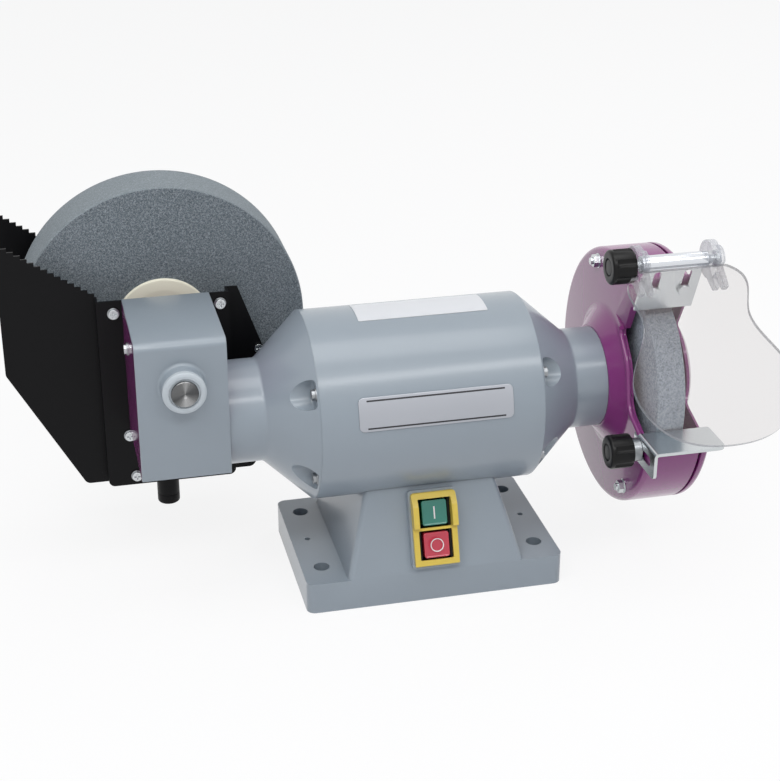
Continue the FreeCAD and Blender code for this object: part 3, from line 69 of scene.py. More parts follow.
alongX, alongY, alongZ = Vector((1, 0, 0)), Vector((0, 1, 0)), Vector((0, 0, 1))
print("frame:", len(nodes), "CAD nodes")

bodyOfNode = {node: body for body, members in record["behaviour"]["bodies"].items() for node in members}
slotOfNode = {part["node"]: part["material_slot"] for part in record["subparts"]}


def lowOf(node):
    return Vector(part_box(node)[0]) / mm


def highOf(node):
    return Vector(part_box(node)[1]) / mm


def spanOf(node):
    return lowOf(node), highOf(node)


def middleOf(node):
    return (lowOf(node) + highOf(node)) / 2


# lines that the pieces are built on, in millimetres, all read from the frame
shaftLine = Vector((0, 0, middleOf("dry_wheel").z))
spindleLine = Vector((middleOf("wet_wheel").x, 0, middleOf("wet_wheel").z))
rodLine = Vector((0, middleOf("shield_rod").y, middleOf("shield_rod").z))
studLine = Vector((0, middleOf("tool_rest_knob").y, middleOf("tool_rest_knob").z))


def linked(name, data):
    holder = bpy.data.objects.new(name, data)
    scene.collection.objects.link(holder)
    return holder


def meshOf(name, bm):
    mesh = bpy.data.meshes.new(name)
    bm.to_mesh(mesh)
    bm.free()
    return mesh


lookout = {
    "azimuth": -13.394, "elevation": 25.094, "roll": 0.0925, "distance": 1.18059,
    "target": (-0.018893, 0.0, 0.133169), "lens": 78.349, "sensor": 36.0, "clipStart": 0.05}


def outwardFrom(azimuth, elevation):
    turn, rise = math.radians(azimuth), math.radians(elevation)
    return Vector((math.sin(turn) * math.cos(rise), -math.cos(turn) * math.cos(rise), math.sin(rise)))


def placeCamera(look):
    outward = outwardFrom(look["azimuth"], look["elevation"])
    camera = linked("camera", bpy.data.cameras.new("camera"))
    camera.data.lens = look["lens"]
    camera.data.sensor_width = look["sensor"]
    camera.data.clip_start = look["clipStart"]
    camera.rotation_mode = "QUATERNION"
    roll = Quaternion((0, 0, 1), math.radians(look["roll"]))
    camera.rotation_quaternion = outward.to_track_quat("Z", "Y") @ roll
    camera.location = Vector(look["target"]) + outward * look["distance"]
    scene.camera = camera


placeCamera(lookout)
scene.view_settings.view_transform = "Standard"


class Wire:
    # One socket in a material's tree. Sums on it add Math nodes; make() adds any other node.
    def __init__(self, tree, socket=None):
        self.tree = tree
        self.socket = socket

    def make(self, kind, settings=None, inputs=None, output=0):
        node = self.tree.nodes.new(kind)
        for key, value in (settings or {}).items():
            if key == "stops":
                ramp = node.color_ramp
                while len(ramp.elements) < len(value):
                    ramp.elements.new(0.5)
                for element, (place, colour) in zip(ramp.elements, value):
                    element.position = place
                    element.color = colour
            else:
                setattr(node, key, value)
        for key, value in (inputs or {}).items():
            if isinstance(value, Wire):
                self.tree.links.new(value.socket, node.inputs[key])
            else:
                node.inputs[key].default_value = value
        return Wire(self.tree, node.outputs[output] if node.outputs else None)

    def other(self, output):
        return Wire(self.tree, self.socket.node.outputs[output])

    def sum(self, operation, first, second):
        return self.make("ShaderNodeMath", {"operation": operation}, {0: first, 1: second})

    def mix(self, factor, first, second):
        return self.make("ShaderNodeMix", {"data_type": "RGBA"}, {0: factor, 6: first, 7: second}, 2)

    def __add__(self, other):
        return self.sum("ADD", self, other)

    def __radd__(self, other):
        return self.sum("ADD", other, self)

    def __sub__(self, other):
        return self.sum("SUBTRACT", self, other)

    def __rsub__(self, other):
        return self.sum("SUBTRACT", other, self)

    def __mul__(self, other):
        return self.sum("MULTIPLY", self, other)

    def __rmul__(self, other):
        return self.sum("MULTIPLY", other, self)

    def __gt__(self, other):
        return self.sum("GREATER_THAN", self, other)


# Screen tones 0 to 255 to a linear colour.
def tone(red, green, blue):
    linear = [c / 255 / 12.92 if c < 11 else ((c / 255 + 0.055) / 1.055) ** 2.4 for c in (red, green, blue)]
    return (*linear, 1.0)


def newMaterial(name):
    material = bpy.data.materials.new(name)
    material.use_nodes = True
    material.node_tree.nodes.clear()
    return material, Wire(material.node_tree)


def showSurface(wire, surface):
    wire.make("ShaderNodeOutputMaterial", inputs={"Surface": surface})


room = {"floorTone": (240, 240, 242), "floorSize": 6.0, "floorGlow": 0.86, "ambient": 0.37,
        "ambientTone": (250, 252, 255)}


# 1 where the ray comes straight from the lens or off gloss or through glass.
def seenRay(wire):
    path = wire.make("ShaderNodeLightPath")
    straight = path.other("Is Camera Ray")
    return straight.sum("MAXIMUM", straight, path.sum("MAXIMUM", path.other("Is Glossy Ray"),
                                                      path.other("Is Transmission Ray")))


def makeRoom(look):
    bm = bmesh.new()
    bmesh.ops.create_grid(bm, x_segments=1, y_segments=1, size=look["floorSize"])
    floor = linked("floor", meshOf("floor", bm))
    material, wire = newMaterial("pale_floor")
    matt = wire.make("ShaderNodeBsdfDiffuse", inputs={"Color": tone(*look["floorTone"])})
    glow = wire.make("ShaderNodeEmission", inputs={"Color": (1, 1, 1, 1), "Strength": 1.0})
    share = seenRay(wire) * look["floorGlow"]
    showSurface(wire, wire.make("ShaderNodeMixShader", inputs={0: share, 1: matt, 2: glow}))
    floor.data.materials.append(material)
    world = bpy.data.worlds.new("room")
    scene.world = world
    world.use_nodes = True
    world.node_tree.nodes.clear()
    air = Wire(world.node_tree)
    white = air.make("ShaderNodeBackground", inputs={"Color": (1, 1, 1, 1), "Strength": 1.0})
    soft = air.make("ShaderNodeBackground", inputs={"Color": tone(*look["ambientTone"]),
                                                    "Strength": look["ambient"]})
    shown = air.make("ShaderNodeMixShader", inputs={0: seenRay(air), 1: soft, 2: white})
    air.make("ShaderNodeOutputWorld", inputs={"Surface": shown})


lamps = {
    "strip": {"from": (8, 48), "distance": 2.0, "size": (2.2, 0.3), "power": 13},
    "key": {"from": (-50, 52), "distance": 2.2, "size": (1.2, 0.9), "power": 11.5},
    "top": {"from": (0, 86), "distance": 1.9, "size": (1.8, 0.9), "power": 12.5},
    "rim": {"from": (120, 35), "distance": 2.2, "size": (0.8, 1.2), "power": 7},
}


def hangLamps(look):
    for name, lamp in look.items():
        light = bpy.data.lights.new(name, "AREA")
        light.shape = "RECTANGLE"
        light.size, light.size_y = lamp["size"]
        light.energy = lamp["power"]
        holder = linked(name, light)
        outward = outwardFrom(*lamp["from"])
        holder.location = shaftLine * mm + outward * lamp["distance"]
        holder.rotation_euler = outward.to_track_quat("Z", "Y").to_euler()


makeRoom(room)
hangLamps(lamps)
print("camera, room and lamps ready")


# What every finish has unless its own look says otherwise.
plainLook = {
    "driftScale": 14.0, "driftTo": 1.06, "skinScale": 900.0, "bumpStrength": 0.12, "bumpDepth": 0.00012,
    "roughSpread": 0.08, "metallic": 0.0, "coat": 0.0, "coatRoughness": 0.08, "specular": 0.5}


def noise(wire, place, scale, detail):
    return wire.make("ShaderNodeTexNoise", inputs={"Vector": place, "Scale": scale, "Detail": detail})


# Ends a material with its surface, which has a bump of the given height.
def showFinish(wire, look, colour, rough, height):
    bump = wire.make("ShaderNodeBump", inputs={"Strength": look["bumpStrength"],
                                               "Distance": look["bumpDepth"], "Height": height})
    showSurface(wire, wire.make("ShaderNodeBsdfPrincipled", inputs={
        "Base Color": colour, "Roughness": rough, "Metallic": look["metallic"], "Normal": bump,
        "Coat Weight": look["coat"], "Coat Roughness": look["coatRoughness"],
        "Specular IOR Level": look["specular"]}))


# Paint, plastic and plated metal: one colour that drifts a little, with a fine skin in the bump.
def coated(name, look):
    material, wire = newMaterial(name)
    place = wire.make("ShaderNodeTexCoord", output="Object")
    drift = noise(wire, place, look["driftScale"], detail=3.0)
    skin = noise(wire, place, look["skinScale"], detail=2.0)
    near = tone(*look["tone"])
    far = tone(*[min(255, c * look["driftTo"]) for c in look["tone"]])
    colour = wire.mix(drift, near, far)
    rough = look["roughness"] + (skin - 0.5) * look["roughSpread"]
    showFinish(wire, look, colour, rough, skin)
    return material


# Metal turned about a line along Y: fine rings in the bump, and a painted sheen: greys that change on the
# way round.
def turned(name, look):
    material, wire = newMaterial(name)
    place = wire.make("ShaderNodeTexCoord", output="Object")
    centred = wire.make("ShaderNodeMapping", {"vector_type": "POINT"},
                        {"Vector": place, "Location": [-c * mm for c in look["centre"]]})
    rings = wire.make("ShaderNodeTexWave", {"wave_type": "RINGS", "rings_direction": "Y"},
                      {"Vector": centred, "Scale": look["ringScale"], "Distortion": look["ringWobble"],
                       "Detail": 2.0, "Detail Scale": 2.0})
    smear = noise(wire, place, look["smearScale"], detail=3.0)
    faceOn = wire.make("ShaderNodeMapping", {"vector_type": "POINT"},
                       {"Vector": centred, "Rotation": (-math.pi / 2, 0, 0)})
    around = wire.make("ShaderNodeTexGradient", {"gradient_type": "RADIAL"}, {"Vector": faceOn}, "Fac")
    # painted reflection: the grey follows the angle round the spindle
    sheen = wire.make("ShaderNodeValToRGB", {"stops": [(at, tone(v, v, v)) for at, v in look["sheen"]]},
                      {"Fac": around})
    colour = wire.mix(smear * look["smearShare"], sheen, tone(*look["tone"]))
    rough = look["roughness"] + rings * look["ringRough"]
    showFinish(wire, look, colour, rough, rings + smear * look["smearBump"])
    return material


# Bonded abrasive: grains of three tones with pits between them, and another tone past the radius of its rim:
# the dressed face, partly painted light.
def grit(name, look):
    material, wire = newMaterial(name)
    place = wire.make("ShaderNodeTexCoord", output="Object")
    fine = noise(wire, place, look["fineScale"], detail=4.0)
    coarse = noise(wire, place, look["coarseScale"], detail=3.0)
    cells = wire.make("ShaderNodeTexVoronoi", inputs={"Vector": place, "Scale": look["grainScale"]})
    cloud = noise(wire, place, look["cloudScale"], detail=3.0)
    fineShare, coarseShare = look["grainShares"]
    grain = fine * fineShare + coarse * coarseShare
    darkAt, lightAt = look["spread"]
    ramp = wire.make("ShaderNodeValToRGB", {"stops": [
        (darkAt, tone(*look["dark"])), (0.5, tone(*look["middle"])), (lightAt, tone(*look["light"]))]},
        {"Fac": grain})
    colour = wire.mix(cloud * look["cloudShare"], ramp, tone(*look["light"]))
    # painted glints: grains in the brightest cells take a pale tone
    glint = cells > look["glintAt"]
    colour = wire.mix(glint * look["glintShare"], colour, tone(*look["glint"]))
    across = wire.make("ShaderNodeVectorMath", {"operation": "MULTIPLY"}, {0: place, 1: look["acrossAxis"]})
    radius = wire.make("ShaderNodeVectorMath", {"operation": "DISTANCE"},
                       {0: across, 1: [c * mm for c in look["centre"]]}, "Value")
    # past rimFrom the stone takes its rim tone, partly the dressed face and partly painted light and shade
    rim = radius > look["rimFrom"] * mm
    colour = wire.mix(rim * look["rimShare"], colour, tone(*look["rim"]))
    showFinish(wire, look, colour, look["roughness"], grain + cells * look["cellPits"])
    return material


# Clear plastic: mostly seen through, with a faint tint, more solid where it is seen edge-on.
def clear(name, look):
    material, wire = newMaterial(name)
    place = wire.make("ShaderNodeTexCoord", output="Object")
    haze = noise(wire, place, look["hazeScale"], detail=4.0)
    rim = wire.make("ShaderNodeLayerWeight", inputs={"Blend": look["rimBlend"]}, output="Facing")
    solid = rim * look["rimShare"] + haze * look["hazeShare"] + look["body"]
    showSurface(wire, wire.make("ShaderNodeBsdfPrincipled", inputs={
        "Base Color": tone(*look["tone"]), "Roughness": look["roughness"],
        "Specular IOR Level": look["specular"], "Alpha": solid}))
    return material


coatedLooks = {
    "grey_paint": {
        "tone": (137, 147, 156), "roughness": 0.34, "coat": 0.45, "skinScale": 380.0, "bumpStrength": 0.05,
        "coatRoughness": 0.16, "driftTo": 1.04},
    "purple_paint": {
        "tone": (122, 42, 110), "roughness": 0.26, "coat": 0.6, "driftTo": 1.05, "coatRoughness": 0.07,
        "bumpStrength": 0.02, "roughSpread": 0.02, "specular": 0.4},
    "black_tank": {
        "tone": (9, 9, 11), "roughness": 0.42, "skinScale": 700.0, "bumpStrength": 0.05, "specular": 0.16},
    "zinc": {
        "tone": (198, 202, 204), "roughness": 0.26, "metallic": 1.0, "driftScale": 40.0,
        "roughSpread": 0.03, "bumpStrength": 0.015},
    "steel": {"tone": (150, 153, 156), "roughness": 0.36, "metallic": 1.0},
    "chrome": {
        "tone": (214, 217, 222), "roughness": 0.17, "metallic": 1.0, "bumpStrength": 0.0,
        "roughSpread": 0.0},
    "silver_plate": {
        "tone": (168, 171, 178), "roughness": 0.36, "metallic": 0.7, "driftTo": 1.05, "coat": 0.3},
    "white_label": {"tone": (208, 210, 214), "roughness": 0.4, "driftTo": 1.02},
    "yellow_plastic": {"tone": (206, 180, 74), "roughness": 0.36, "coat": 0.2},
    "green_plastic": {"tone": (30, 112, 98), "roughness": 0.24, "coat": 0.5},
    "red_plastic": {"tone": (182, 44, 66), "roughness": 0.24, "coat": 0.5},
    "white_ink": {"tone": (224, 216, 218), "roughness": 0.5, "driftTo": 1.02},
    "dark_ink": {"tone": (34, 34, 38), "roughness": 0.45},
    "black_plastic": {"tone": (13, 13, 14), "roughness": 0.38, "skinScale": 1400.0, "specular": 0.22},
    "knob_plastic": {
        "tone": (11, 11, 12), "roughness": 0.3, "skinScale": 1400.0, "bumpStrength": 0.06,
        "specular": 0.22},
    "cream_plastic": {"tone": (232, 228, 210), "roughness": 0.5, "driftScale": 40.0, "driftTo": 1.03},
    "seal_white": {"tone": (176, 184, 190), "roughness": 0.35, "coat": 0.4},
    "blotter": {"tone": (190, 182, 160), "roughness": 0.8},
    "copper": {"tone": (184, 110, 70), "roughness": 0.4, "metallic": 0.8},
    "core_steel": {"tone": (90, 90, 94), "roughness": 0.5, "metallic": 0.8},
    "bronze": {"tone": (180, 146, 90), "roughness": 0.4, "metallic": 1.0},
    "cast_alloy": {"tone": (176, 178, 180), "roughness": 0.5, "metallic": 0.9},
    "seal_rubber": {"tone": (34, 34, 34), "roughness": 0.7},
}
turnedLooks = {
    "spun_steel": {"tone": (116, 120, 124), "roughness": 0.2, "metallic": 1.0,
                   "centre": (spindleLine.x, 0, spindleLine.z), "ringScale": 500.0, "ringWobble": 0.2,
                   "bumpStrength": 0.9, "bumpDepth": 0.00006, "ringRough": 0.08, "smearScale": 260.0,
                   "smearShare": 0.3, "smearBump": 0.1,
                   # painted sheen: share of the turn from nine o'clock by way of six, and the grey painted
                   # there
                   "sheen": ((0.0, 100), (0.08, 72), (0.17, 122), (0.25, 178), (0.33, 164), (0.42, 108),
                             (0.5, 72), (0.58, 76), (0.67, 112), (0.73, 158), (0.8, 108), (1.0, 100))},
}
plainGrit = {"grainShares": (0.6, 0.4), "cellPits": 0.3, "specular": 0.3}
gritLooks = {
    # lighter rim: the dressed face, partly a painted highlight where it faces up to the lamps
    "wet_stone": {
        "dark": (62, 70, 76), "middle": (96, 105, 112), "light": (132, 140, 146), "glint": (176, 182, 186),
        "rim": (150, 158, 162), "fineScale": 2000.0, "coarseScale": 620.0, "grainScale": 1300.0,
        "cloudScale": 9.0, "cloudShare": 0.2, "glintAt": 0.62, "glintShare": 0.3, "spread": (0.36, 0.64),
        "bumpStrength": 0.5, "bumpDepth": 0.0004, "roughness": 0.9, "acrossAxis": (1, 0, 1),
        "centre": (spindleLine.x, 0, spindleLine.z), "rimFrom": 99.0, "rimShare": 0.45},
    # painted light: the tones of the sides are raised against the shade of the guard, the rim left darker
    "dry_stone": {
        "dark": (122, 132, 142), "middle": (156, 166, 176), "light": (182, 191, 200),
        "glint": (206, 213, 219), "rim": (128, 138, 148), "fineScale": 900.0, "coarseScale": 420.0,
        "grainScale": 800.0, "cloudScale": 12.0, "cloudShare": 0.15, "glintAt": 0.55, "glintShare": 0.35,
        "spread": (0.4, 0.6), "bumpStrength": 0.6, "bumpDepth": 0.0005, "roughness": 0.8,
        "acrossAxis": (0, 1, 1), "centre": (0, 0, shaftLine.z), "rimFrom": 74.3, "rimShare": 0.34},
}
clearLooks = {
    "clear_plastic": {
        "tone": (140, 126, 124), "roughness": 0.06, "body": 0.085, "rimBlend": 0.35, "rimShare": 0.25,
        "hazeScale": 20.0, "hazeShare": 0.01, "specular": 0.6},
    "clear_edge": {
        "tone": (150, 152, 158), "roughness": 0.12, "body": 0.5, "rimBlend": 0.4, "rimShare": 0.3,
        "hazeScale": 60.0, "hazeShare": 0.1, "specular": 0.6},
    "clear_mould": {
        "tone": (196, 199, 206), "roughness": 0.1, "body": 0.13, "rimBlend": 0.5, "rimShare": 0.4,
        "hazeScale": 90.0, "hazeShare": 0.15, "specular": 0.6},
}
finishes = {}
for recipe, looks in ((coated, coatedLooks), (turned, turnedLooks), (grit, gritLooks), (clear, clearLooks)):
    shared = {**plainLook, **plainGrit} if recipe is grit else plainLook
    finishes.update({name: recipe(name, {**shared, **look}) for name, look in looks.items()})
print("finishes:", len(finishes))

for nodeName, node in nodes.items():   # CAD nodes that stay in sight keep their shape
    node.data.materials.clear()
    node.data.materials.append(finishes[slotOfNode[nodeName]])


mergeWithin = 0.002   # mm, verts nearer than this are one
flush = 0.01   # mm, places nearer than this to a plane lie in it
flatWithin = 0.3   # degrees, faces that turn by less are joined up


# An outline's point is two lengths and, where it is rounded, the radius of its corner.
def cornerOf(point):
    return point[2] if len(point) > 2 else 0.0


def faceOut(bm):
    bmesh.ops.recalc_face_normals(bm, faces=bm.faces[:])


def vertsIn(geometry):
    return [v for v in geometry if isinstance(v, bmesh.types.BMVert)]


# Wire through points in millimetres, each a place and the radius of its rounded corner.
def drawWire(bm, points, closed=True, segments=5):
    count = len(points)
    verts = [bm.verts.new(Vector(place) * mm) for place, radius in points]
    for i in range(count if closed else count - 1):
        bm.edges.new((verts[i], verts[(i + 1) % count]))
    for i, (place, radius) in enumerate(points):
        if radius > 0:
            before = Vector(points[i - 1][0]) - Vector(place)
            after = Vector(points[(i + 1) % count][0]) - Vector(place)
            reach = radius / math.tan(before.angle(after) / 2)
            bmesh.ops.bevel(bm, geom=[verts[i]], offset=reach * mm, offset_type="OFFSET", segments=segments,
                            profile=0.5, affect="VERTICES", material=-1)


# Ring or plug turned about a line from (along, radius, corner) points; it may start and end on the line.
def lathe(profile, line, axis, steps=96, segments=5):
    side = alongZ if abs(axis.z) < 0.5 else alongX
    points = [(line + axis * p[0] + side * p[1], cornerOf(p)) for p in profile]
    onLine = profile[0][1] == 0 and profile[-1][1] == 0
    bm = bmesh.new()
    drawWire(bm, points, closed=not onLine, segments=segments)
    bmesh.ops.spin(bm, geom=bm.verts[:] + bm.edges[:], cent=line * mm, axis=axis, dvec=(0, 0, 0),
                   angle=math.tau, steps=steps, use_merge=True, use_duplicate=False)
    bmesh.ops.remove_doubles(bm, verts=bm.verts[:], dist=mergeWithin * mm)
    faceOut(bm)
    return bm


def radiusOf(node, axis):
    low, high = spanOf(node)
    return (high.y - low.y if axis.x > 0.5 else high.x - low.x) / 2


# Disc or tube as long and as wide as a CAD node, with a bore and rounded rims.
def tube(node, line, axis, boreR, edge, steps):
    low, high = (end.dot(axis) for end in spanOf(node))
    radius = radiusOf(node, axis)
    return lathe([(low, boreR), (low, radius, edge), (high, radius, edge), (high, boreR)], line, axis, steps)


# Plate from an outline of (across, up, corner) points, thick from one offset to another.
def slab(outline, start, across, up, fromOffset, toOffset, segments=5):
    outward = across.cross(up)
    bm = bmesh.new()
    drawWire(bm, [(start + across * p[0] + up * p[1] + outward * fromOffset, cornerOf(p)) for p in outline],
             segments=segments)
    faces = bmesh.ops.contextual_create(bm, geom=bm.edges[:])["faces"]
    raised = bmesh.ops.extrude_face_region(bm, geom=faces)["geom"]
    bmesh.ops.translate(bm, vec=outward * (toOffset - fromOffset) * mm, verts=vertsIn(raised))
    faceOut(bm)
    return bm


def rectangle(low, high, left, right, corner=0.0):
    return [(left, low, corner), (right, low, corner), (right, high, corner), (left, high, corner)]


# Rounds the chosen edges, or else every edge that turns by more than an angle.
def soften(bm, width, angle=30.0, segments=3, chosen=None):
    edges = chosen
    if edges is None:
        sharp = math.radians(angle)
        edges = [e for e in bm.edges if len(e.link_faces) == 2 and e.calc_face_angle(0) > sharp]
    bmesh.ops.bevel(bm, geom=edges, offset=width * mm, offset_type="OFFSET", segments=segments, profile=0.5,
                    affect="EDGES", material=-1, clamp_overlap=True)
    return bm


def together(*parts):
    whole = bmesh.new()
    for part in parts:
        mesh = meshOf("part", part)
        whole.from_mesh(mesh)
        bpy.data.meshes.remove(mesh)
    return whole


# Shape of an object with its modifiers or its bevel applied.
def finishedShape(holder):
    mesh = bpy.data.meshes.new_from_object(holder.evaluated_get(bpy.context.evaluated_depsgraph_get()))
    bm = bmesh.new()
    bm.from_mesh(mesh)
    bpy.data.meshes.remove(mesh)
    return bm


# Cuts one shape with another, or joins or crosses the two.
def carve(bm, cutter, operation="DIFFERENCE"):
    blank, tool = (linked("blank", meshOf("blank", part)) for part in (bm, cutter))
    cut = blank.modifiers.new("cut", "BOOLEAN")
    cut.object = tool
    cut.operation = operation
    cut.solver = "EXACT"
    result = finishedShape(blank)
    bpy.data.batch_remove([blank, blank.data, tool, tool.data])
    bmesh.ops.dissolve_degenerate(result, dist=mergeWithin / 2 * mm, edges=result.edges[:])
    return result


# Merged copy of a CAD node's mesh, its flat faces joined up again.
def copyOf(node):
    bm = bmesh.new()
    bm.from_mesh(nodes[node].data)
    bmesh.ops.remove_doubles(bm, verts=bm.verts[:], dist=mergeWithin * mm)
    bmesh.ops.dissolve_limit(bm, angle_limit=math.radians(flatWithin), verts=bm.verts[:],
                             edges=bm.edges[:])
    return bm


# Links a finished shape. It rides with the CAD nodes it stands for, or with the node it is part of.
def newPiece(name, bm, finish, standsFor=(), partOf=None, smooth=32.0, edge=0.0, edgeSteps=2):
    mesh = meshOf(name, bm)
    if "custom_normal" in mesh.attributes:
        mesh.attributes.remove(mesh.attributes["custom_normal"])
    mesh.materials.clear()
    mesh.materials.append(finishes[finish])
    mesh.shade_smooth()
    mesh.set_sharp_from_angle(angle=math.radians(smooth))
    piece = linked(name, mesh)
    if edge > 0:
        bevel = piece.modifiers.new("softEdge", "BEVEL")
        bevel.width = edge * mm
        bevel.segments = edgeSteps
        bevel.limit_method = "ANGLE"
        bevel.angle_limit = math.radians(smooth)
        bevel.harden_normals = True
    first = partOf or standsFor[0]
    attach(piece, bodyOfNode[first])
    if standsFor:
        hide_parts(*standsFor)
    return piece


# motor: drawn shell between two cast bells
motor = {
    "shellWall": 3.0, "edge": 0.25, "neckR": 35.4, "neckBlend": 3.5, "leftCone": 31.9, "rightCone": 33.0,
    "boreR": 18.0, "pocketR": 10.0, "pocketPitch": 59.5, "pocketFloor": 1.2,
    "pocketAngles": (31, 149, 211, 329), "pocketRound": 2.0, "pocketEdge": 0.7}


def makeShell(look, shellR):
    shell = tube("motor_shell", shaftLine, alongX, shellR - look["shellWall"], look["edge"], steps=160)
    newPiece("motorShell", shell, "grey_paint", ["motor_shell"])


def makeBell(name, node, side, shellX, coneLength, look, shellR):
    neckEnd = (highOf(node) if side > 0 else lowOf(node)).x
    length = abs(neckEnd - shellX)
    profile = [(0, look["boreR"]), (0, shellR, look["edge"]), (coneLength, look["neckR"], look["neckBlend"]),
               (length, look["neckR"], look["edge"]), (length, look["boreR"])]
    start = shaftLine + alongX * shellX
    bell = lathe(profile, start, alongX * side, steps=160)
    pocket = [(look["pocketFloor"], 0), (look["pocketFloor"], look["pocketR"], look["pocketRound"]),
              (length, look["pocketR"]), (length, 0)]
    cutters = []
    for angle in look["pocketAngles"]:
        y, z = (look["pocketPitch"] * f(math.radians(angle)) for f in (math.cos, math.sin))
        cutters.append(lathe(pocket, start + Vector((0, y, z)), alongX * side, steps=48))
    bell = carve(bell, together(*cutters))
    newPiece(name, bell, "grey_paint", [node], edge=look["pocketEdge"], edgeSteps=3)


shellR = radiusOf("motor_shell", alongX)
makeShell(motor, shellR)
makeBell("bellLeft", "end_bell_left", -1, lowOf("motor_shell").x, motor["leftCone"], motor, shellR)
makeBell("bellRight", "end_bell_right", 1, highOf("motor_shell").x, motor["rightCone"], motor, shellR)
print("motor ready")

# plate and label lie on the shell, cut to their outline out of a thin sleeve
badge = {
    "angle": 15.9, "halfAngle": 10.1, "gap": 0.1, "proud": 0.9, "corner": 3.5, "edge": 0.3,
    "lineFromEdge": 5.6, "lineThick": 1.1, "lineAngles": (7.6, 23.9), "lineSink": 0.2, "lineProud": 0.06,
    "labelAngle": 90, "labelProud": 0.45, "labelCorner": 0.8, "sleeveSpare": 2, "stampFrom": 20,
    "stampTo": 110}


def sleevePart(node, innerR, outerR, outline, angle, look):
    left, right = lowOf(node).x - look["sleeveSpare"], highOf(node).x + look["sleeveSpare"]
    sleeve = lathe([(left, innerR), (left, outerR), (right, outerR), (right, innerR)], shaftLine, alongX,
                   steps=192)
    turn = math.radians(angle)
    up = Vector((0, math.sin(turn), math.cos(turn)))
    stamp = slab(outline, shaftLine, alongX, up, look["stampFrom"], look["stampTo"])
    return carve(sleeve, stamp, "INTERSECT")


def makeBadge(look, shellR):
    low, high = spanOf("badge_plate")
    half = shellR * math.sin(math.radians(look["halfAngle"]))
    outerR = shellR + look["proud"]
    outline = rectangle(-half, half, low.x, high.x, look["corner"])
    plate = sleevePart("badge_plate", shellR + look["gap"], outerR, outline, look["angle"], look)
    newPiece("badgePlate", plate, "silver_plate", ["badge_plate"], edge=look["edge"])
    lines = []
    for angle in look["lineAngles"]:
        up, half = shellR * math.sin(math.radians(angle - look["angle"])), look["lineThick"] / 2
        outline = rectangle(up - half, up + half, low.x + look["lineFromEdge"],
                            high.x - look["lineFromEdge"])
        lines.append(sleevePart("badge_plate", outerR - look["lineSink"], outerR + look["lineProud"],
                                outline, look["angle"], look))
    newPiece("badgeLines", together(*lines), "dark_ink", partOf="badge_plate")


def makeLabel(look, shellR):
    low, high = spanOf("top_label")
    outline = rectangle(low.y, high.y, low.x, high.x, look["labelCorner"])
    label = sleevePart("top_label", shellR + look["gap"], shellR + look["labelProud"], outline,
                       look["labelAngle"], look)
    newPiece("topLabel", label, "white_label", ["top_label"])


makeBadge(badge, shellR)
makeLabel(badge, shellR)
print("plates ready")

# switch: yellow frame with a raised upper half and two square buttons, on the sloping front
switch = {
    "slopeFoot": (-0.8, -63.0, 22.6), "slopeTop": (-0.8, -42.0, 79.0), "frame": (31.2, 51.3),
    "middleUp": 30.5, "frameFrom": 5.0, "frameThick": 2.2, "frameCorner": 2.0, "frameRound": 0.8,
    "frameEdge": 0.6, "window": (23.4, 20.6), "windowCorner": 0.8, "pitch": 22.4, "hoodFrom": 1.1,
    "hoodHigh": 5.0, "hoodRise": 9.0, "hoodLip": 0.4, "hoodRounds": (1.2, 4.0, 1.0), "button": (17.6, 17.4),
    "buttonCorner": 1.6, "buttonEdge": 0.7, "buttonFrom": -3.0, "buttonTo": 8.2, "dish": 0.7,
    "dishRim": 1.4, "markSink": 0.2, "markProud": 0.08, "barSize": (0.9, 8.6), "ringR": (4.3, 5.0),
    "cutTo": 20}


def makeFrame(look, foot, up, ups):
    width, height = look["frame"]
    start, end = look["middleUp"] - height / 2, look["middleUp"] + height / 2
    low, flat = look["frameFrom"], look["frameFrom"] + look["frameThick"]
    hood, split = flat + look["hoodHigh"], look["middleUp"] + look["hoodFrom"]
    splitRound, browRound, lipRound = look["hoodRounds"]
    side = [(start, low), (start, flat, look["frameRound"]), (split, flat), (split, hood, splitRound),
            (end - look["hoodRise"], hood, browRound), (end, flat + look["hoodLip"], lipRound), (end, low)]
    frame = slab(side, foot, up, alongX.cross(up), -width / 2, width / 2)
    face = rectangle(start - 1, end, -width / 2, width / 2, look["frameCorner"])
    frame = carve(frame, slab(face, foot, alongX, up, 0, look["cutTo"]), "INTERSECT")
    windowW, windowH = look["window"]
    for at in ups.values():
        window = rectangle(at - windowH / 2, at + windowH / 2, -windowW / 2, windowW / 2,
                           look["windowCorner"])
        frame = carve(frame, slab(window, foot, alongX, up, 0, look["cutTo"]))
    newPiece("switchFrame", frame, "yellow_plastic", ["switch_bezel"], edge=look["frameEdge"], edgeSteps=3)


def makeButton(word, finish, look, start, up):
    outward = alongX.cross(up)
    width, height = look["button"]
    outline = rectangle(-height / 2, height / 2, -width / 2, width / 2, look["buttonCorner"])
    button = slab(outline, start, alongX, up, look["buttonFrom"], look["buttonTo"])
    face = max(button.faces, key=lambda f: f.calc_center_median().dot(outward))
    bmesh.ops.inset_region(button, faces=[face], thickness=look["dishRim"] * mm, depth=-look["dish"] * mm,
                           use_even_offset=True)
    newPiece(word + "Button", button, finish, [word + "_button"], edge=look["buttonEdge"], edgeSteps=3)
    floor = look["buttonTo"] - look["dish"]
    low, high = floor - look["markSink"], floor + look["markProud"]
    if word == "on":
        across, tall = look["barSize"]
        mark = slab(rectangle(-tall / 2, tall / 2, -across / 2, across / 2), start, alongX, up, low, high)
    else:
        inner, outer = look["ringR"]
        mark = lathe([(low, inner), (low, outer), (high, outer), (high, inner)], start, outward, steps=64)
    newPiece(word + "Mark", mark, "white_ink", partOf=word + "_button")


